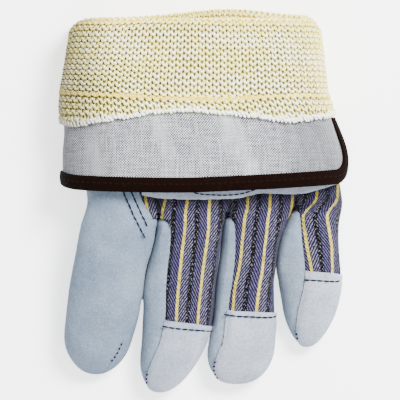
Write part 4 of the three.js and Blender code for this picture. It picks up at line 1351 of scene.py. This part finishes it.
def yarnTubes(name, paths, radius, material, sides=5, closed=False, marks=None):
    paths = np.asarray(paths)
    if closed:
        tangent = np.roll(paths, -1, 1) - np.roll(paths, 1, 1)
    else:
        tangent = np.gradient(paths, axis=1)
    tangent = unit(tangent)
    up = np.zeros_like(tangent)
    up[..., 2] = 1.0
    up[np.abs(tangent[..., 2]) > 0.95] = (0.0, 1.0, 0.0)
    side = unit(np.cross(tangent, up))
    other = np.cross(side, tangent)
    around = np.arange(sides) / sides
    turn = around * 2 * math.pi
    radius = np.broadcast_to(np.asarray(radius, float), paths.shape[:2])[..., None, None]
    ring = np.cos(turn)[:, None] * side[..., None, :] + np.sin(turn)[:, None] * other[..., None, :]
    points = paths[..., None, :] + ring * radius
    points[..., 2] = np.maximum(points[..., 2], 0)
    count, steps = paths.shape[:2]
    quads = gridQuads(steps, sides, closedRows=closed, closedColumns=True)
    quads = (quads[None] + (np.arange(count) * steps * sides)[:, None, None]).reshape(-1, 4)
    run = runAlong(np.linalg.norm(np.diff(paths, axis=1), axis=-1))
    run = run + (np.arange(count) * runApart)[:, None]
    uv = np.stack(np.broadcast_arrays(run[..., None], around[None, None, :]), -1)
    layers = {"yarn": uv.reshape(-1, 2)[quads]}
    for key, (u, v) in (marks or {}).items():
        pair = np.stack([np.broadcast_to(value, (count, steps)) for value in (u, v)], -1)
        layers[key] = np.repeat(pair.reshape(-1, 2), sides, 0)[quads]
    mesh = bpy.data.meshes.new(name)
    mesh.from_pydata((points.reshape(-1, 3) * mm).tolist(), [], quads.tolist())
    setUv(mesh, layers)
    return fit(mesh, material, smoothAngle=None)


# How the loops stray: sideways, out of the knit, along it, and how their thickness varies
knitUneven = {"small": (1.7, 9), "broad": (6.5, 31), "sideways": 0.07, "outward": 0.15,
              "along": 0.28, "lifted": 0.24, "thick": 0.14, "thin": 0.16, "base": 0.86}


def knitLoops(name, courses, material):
    look, uneven = knitSettings, knitUneven
    t = np.linspace(0, 1, look["steps"] + 1)
    phase = fullTurn * t
    wale, course = (v.reshape(-1, 1)
                    for v in np.meshgrid(np.arange(look["wales"]), courses, indexing="ij"))
    across = wale + t + look["spread"] * np.sin(2 * phase)
    along = course + look["tall"] * np.cos(phase)
    # The hem's courses are closer together where the knit's edge comes near the yellow row
    at = (wale + 0.5) / look["wales"] % 1.0 * 2 - 1
    room = np.abs(edgeAt("line", at) - edgeAt("knit", at))
    hem = look["hemCourses"]
    shrink = hem * look["coursePitch"] / room
    kept = (hem - (hem - course) * shrink > look["cutOff"])[:, 0]
    along = np.where(along < hem, hem - (hem - along) * shrink, along)
    across, along = across[kept], along[kept]
    jitter = flatNoise(across * 2, along * 2, *uneven["small"])
    broad = flatNoise(across * 1.2, along, *uneven["broad"])
    along = along + uneven["along"] * broad * smooth(along / 4)
    lift = np.cos(2 * phase)
    height = -look["sunk"] + look["depth"] * lift
    points = onKnit(across + jitter * uneven["sideways"], along,
                    height + jitter * uneven["outward"])
    radius = look["yarn"] * (uneven["base"] + uneven["lifted"] * lift + uneven["thick"] * jitter
                             - uneven["thin"] * broad)
    marks = {"knit": (across, along), "lift": (lift, 0 * lift)}
    return yarnTubes(name, points, radius, material, look["sides"], marks=marks)


# The roll and the inner leg use the yarns painted as shade
knitParts = (("knitOuter", 0.5, 16, "marledYarn"), ("knitRim", 16.5, 20, "rimYarnPaintedShade"),
             ("knitInside", 20.5, 30, "insideYarnPaintedShade"))
onBacking = [knitLoops(name, np.arange(first, last), yarns[yarn])
             for name, first, last, yarn in knitParts]
print("knit made")

# The knit's plain yellow row and its white overlocked edge. A swing goes along the knit, out of
# it, and at random
edgeSettings = {
    "edgeOverlockA": {"course": 0.22, "height": -0.5, "swing": (0.36, 0.6, 0.28), "turns": 168,
                      "radius": 0.5, "yarn": "overlockYarn", "seed": 20},
    "edgeOverlockB": {"course": 0.34, "height": -0.55, "swing": (0.34, 0.5, 0.34), "turns": 117,
                      "radius": 0.52, "yarn": "overlockYarn", "seed": 23},
    "yellowRowA": {"course": 4.05, "height": 0.0, "swing": (0.12, 0.16, 0.16), "turns": 86,
                   "radius": 0.58, "yarn": "yellowYarn", "seed": 25},
    "yellowRowB": {"course": 4.35, "height": -0.1, "swing": (0.12, 0.16, 0.16), "turns": 86,
                   "radius": 0.5, "yarn": "yellowYarn", "seed": 27},
}
turnSteps, pastEdge = 9, 2.6


def loopsRound(name):
    look = edgeSettings[name]
    alongSwing, outSwing, randomSwing = look["swing"]
    t = np.arange(look["turns"] * turnSteps) / turnSteps
    phase = fullTurn * t
    wale = t / look["turns"] * knitSettings["wales"]
    sway = flatNoise(t, 0 * t, 1.3, look["seed"])
    c = look["course"] + alongSwing * np.cos(phase) + randomSwing * sway
    h = look["height"] + outSwing * np.sin(phase) + 0.2 * sway
    points = onKnit(wale, np.maximum(c, 0), h)
    points[:, 1] += np.minimum(c, 0) * pastEdge
    marks = {"knit": (wale[None, :], c[None, :]), "lift": (np.sin(phase)[None, :], c[None, :])}
    return yarnTubes(name, points[None], look["radius"], yarns[look["yarn"]],
                     closed=True, marks=marks)


onBacking += [loopsRound(name) for name in edgeSettings]
print("knit edge made")

# Stitches: short dashes of thread. A kind is a dash, a gap, a radius and how deep its ends dive

stitchSettings = {
    "row": (3.0, 0.1, 0.36, 0.35), "cap": (3.0, 0.1, 0.36 * 1.1, 0.35),
    "tip": (1.0, 1.3, 0.5, 0.2), "indexTip": (1.0, 1.4, 0.45, 0.2), "seam": (6, 0, 0.3, 0),
    "strap": (2.4, 0.3, 0.3, 0.35), "binding": (1.9, 0.9, 0.2, 0.25),
}
stitchSides = 6


def dashes(name, line, kind, thread="navyThread"):
    dash, gap, radius, sink = stitchSettings[kind] if isinstance(kind, str) else kind
    line = np.asarray(line, float)
    run = runAlong(np.linalg.norm(np.diff(line, axis=0), axis=1))
    count = max(1, int((run[-1] + gap) / (dash + gap)))
    starts = np.arange(count) * (dash + gap)
    t = np.linspace(0, 1, 7)
    at = starts[:, None] + t[None, :] * dash
    points = np.stack([np.interp(at, run, line[:, k]) for k in range(3)], -1)
    ends = np.abs(2 * t - 1) ** 3
    points[..., 2] -= sink * ends
    width = np.broadcast_to(radius * (1 - 0.55 * ends), points.shape[:2])
    yarnTubes(name, points, width, threads[thread], stitchSides)


def smoothLine(places, count=80):
    places = np.asarray(places, float)
    rows = {"t": np.arange(len(places), dtype=float), "x": places[:, 0], "y": places[:, 1]}
    t = np.linspace(0, len(places) - 1, count)
    return read(rows, "t", "x", t), read(rows, "t", "y", t)


def onBack(i, places, height, lift=1):
    x, y = smoothLine(places)
    return skin(i, 1, turnAt(i, x, y), y, -height, lift)


indexStitches = {
    "indexStitchA": ((-37.6, 4), (-36.4, 0.9), (-34.4, -3.4), (-31.6, -10.4), (-27.6, -18.6)),
    "indexStitchB": ((-34, 4), (-31.6, -1.4), (-29, -7.2), (-26.2, -14.6)),
}
capStitches = {
    1: ((-19.3, -59.2), (-14, -60.2), (-4.5, -61.2), (2.2, -61.8)),
    2: ((9.9, -53.8), (16, -54.6), (22.5, -54.9), (29, -55.3), (33, -54.8)),
    3: ((46.9, -37.5), (52, -37.8), (56, -38.1), (61, -38.4), (63.6, -37.8)),
}
strapStitches = ((-7, 5), (-5.6, 3.7), (-1.9, 2.75), (4.6, 2.3), (11.1, 2.25), (16.5, 2.75),
                 (20.4, 3.7), (24, 5))
tipStitches = {1: (-81.5, -87.2), 2: (-75.8, -84.2), 3: (-62.4, -65.6)}
indexTipStitches = (-67.5, -77.5)
# How high the rows lie over the skin, and how far the binding's row is from the tape's edge
stitchHeights = {"index": 0.42, "cap": 1.15, "tip": 0.8, "indexTip": 0.1, "capSeam": -0.45,
                 "strap": 0.15, "binding": 1.5}
bindingIn = 2.6
# Dark thread laid deep between the fingers as painted shadow, hiding the floor in the gaps: where
# it ends, its radius and its look
gapShadowThreads = ((-49, 0.55, "navyThread"), (-66, 0.45, "shadeThread"), (-35, 0.45, "shadeThread"))


def makeStitches():
    high = stitchHeights
    for name, places in indexStitches.items():
        dashes(name, onBack(0, places, high["index"], 0), "row")
    for i, places in capStitches.items():
        line = onBack(i, places, high["cap"])
        dashes(fingers[i]["name"] + "CapStitch", line, "cap")
    for i, (start, stop) in tipStitches.items():
        y = np.linspace(start, stop, 40)
        line = skin(i, 1, turnAt(i, seamX(i, y) + 0.3, y), y, -high["tip"], 1)
        line[:, 2] += np.linspace(0.2, 0.9, 40)
        dashes(fingers[i]["name"] + "TipStitch", line, "tip")
    # Painted shadow: a dark thread sunk along each cap's seam, from its hem to the tip
    for i in clothFingers:
        y = np.linspace(fingers[i]["hem"][0] - 3, fingers[i]["tip"] + 7, 60)
        line = skin(i, 1, turnAt(i, seamX(i, y) - 0.15, y), y, -high["capSeam"], 1)
        dashes(fingers[i]["name"] + "CapSeam", line, "seam", "shadeThread")
    # Painted shadow: a dark thread in each gap between the fingers
    for i, (stop, radius, thread) in enumerate(gapShadowThreads):
        y = np.linspace(fingers[i]["crotch"] + 2, stop, 60)
        a, b = columnAt(i, y), columnAt(i + 1, y)
        line = np.stack([(a["right"] + b["left"]) / 2, y, (a["middle"] + b["middle"]) / 2 - 1], -1)
        dashes(fingers[i]["name"] + "SideSeam", line, (6, 0, radius, 0), thread)
    y = np.linspace(*indexTipStitches, 40)
    line = skin(0, 1, turnAt(0, read(indexGroove, "y", "x", y), y), y, -high["indexTip"], 0)
    dashes("indexTipStitch", line, "indexTip")
    x, y = smoothLine(strapStitches)
    dashes("strapStitch", onStrap(x, y, strap["thick"] + high["strap"]), "strap")
    at, y, lean, sign = tapePath(8)
    line = tapeFrame(at, y, lean, sign, np.full_like(at, bindingIn),
                     np.full_like(at, -high["binding"]))
    dashes("bindingStitch", line, "binding", "tapeThread")


makeStitches()
print("stitches made")

# Floor and light

floorSettings = {"half": 3, "under": 0.0002, "colour": (0.96, 0.96, 0.96, 1), "glow": 1.6}


def makeFloor():
    mesh = bpy.data.meshes.new("floor")
    half, z = floorSettings["half"], -floorSettings["under"]
    corners = [(-half, -half, z), (half, -half, z), (half, half, z), (-half, half, z)]
    mesh.from_pydata(corners, [], [(0, 1, 2, 3)])
    floor = bpy.data.objects.new("floor", mesh)
    bpy.context.scene.collection.objects.link(floor)
    paint = Paint("paleFloor", 0.95)
    paint.shader.inputs["Base Color"].default_value = floorSettings["colour"]
    paint.shader.inputs["Emission Color"].default_value = (1, 1, 1, 1)
    paint.shader.inputs["Emission Strength"].default_value = floorSettings["glow"]
    mesh.materials.append(paint.material)


makeFloor()

lightSettings = {
    "main": {"place": (0.5, 0.5, 0.9), "size": 0.45, "power": 50},
    "fill": {"place": (0.1, -0.5, 0.9), "size": 0.9, "power": 10},
}
skySettings = {"colour": (0.95, 0.97, 1, 1), "power": 0.95}


def makeLights():
    for name, look in lightSettings.items():
        data = bpy.data.lights.new(name, "AREA")
        data.size, data.energy = look["size"], look["power"]
        light = bpy.data.objects.new(name, data)
        light.location = look["place"]
        x, y, z = look["place"]
        light.rotation_euler = (math.atan2(math.hypot(x, y), z), 0, math.atan2(x, -y))
        bpy.context.scene.collection.objects.link(light)
    world = bpy.data.worlds.new("studio")
    world.use_nodes = True
    sky = world.node_tree.nodes["Background"].inputs
    sky[0].default_value, sky[1].default_value = skySettings["colour"], skySettings["power"]
    bpy.context.scene.world = world


makeLights()

print("scene done")
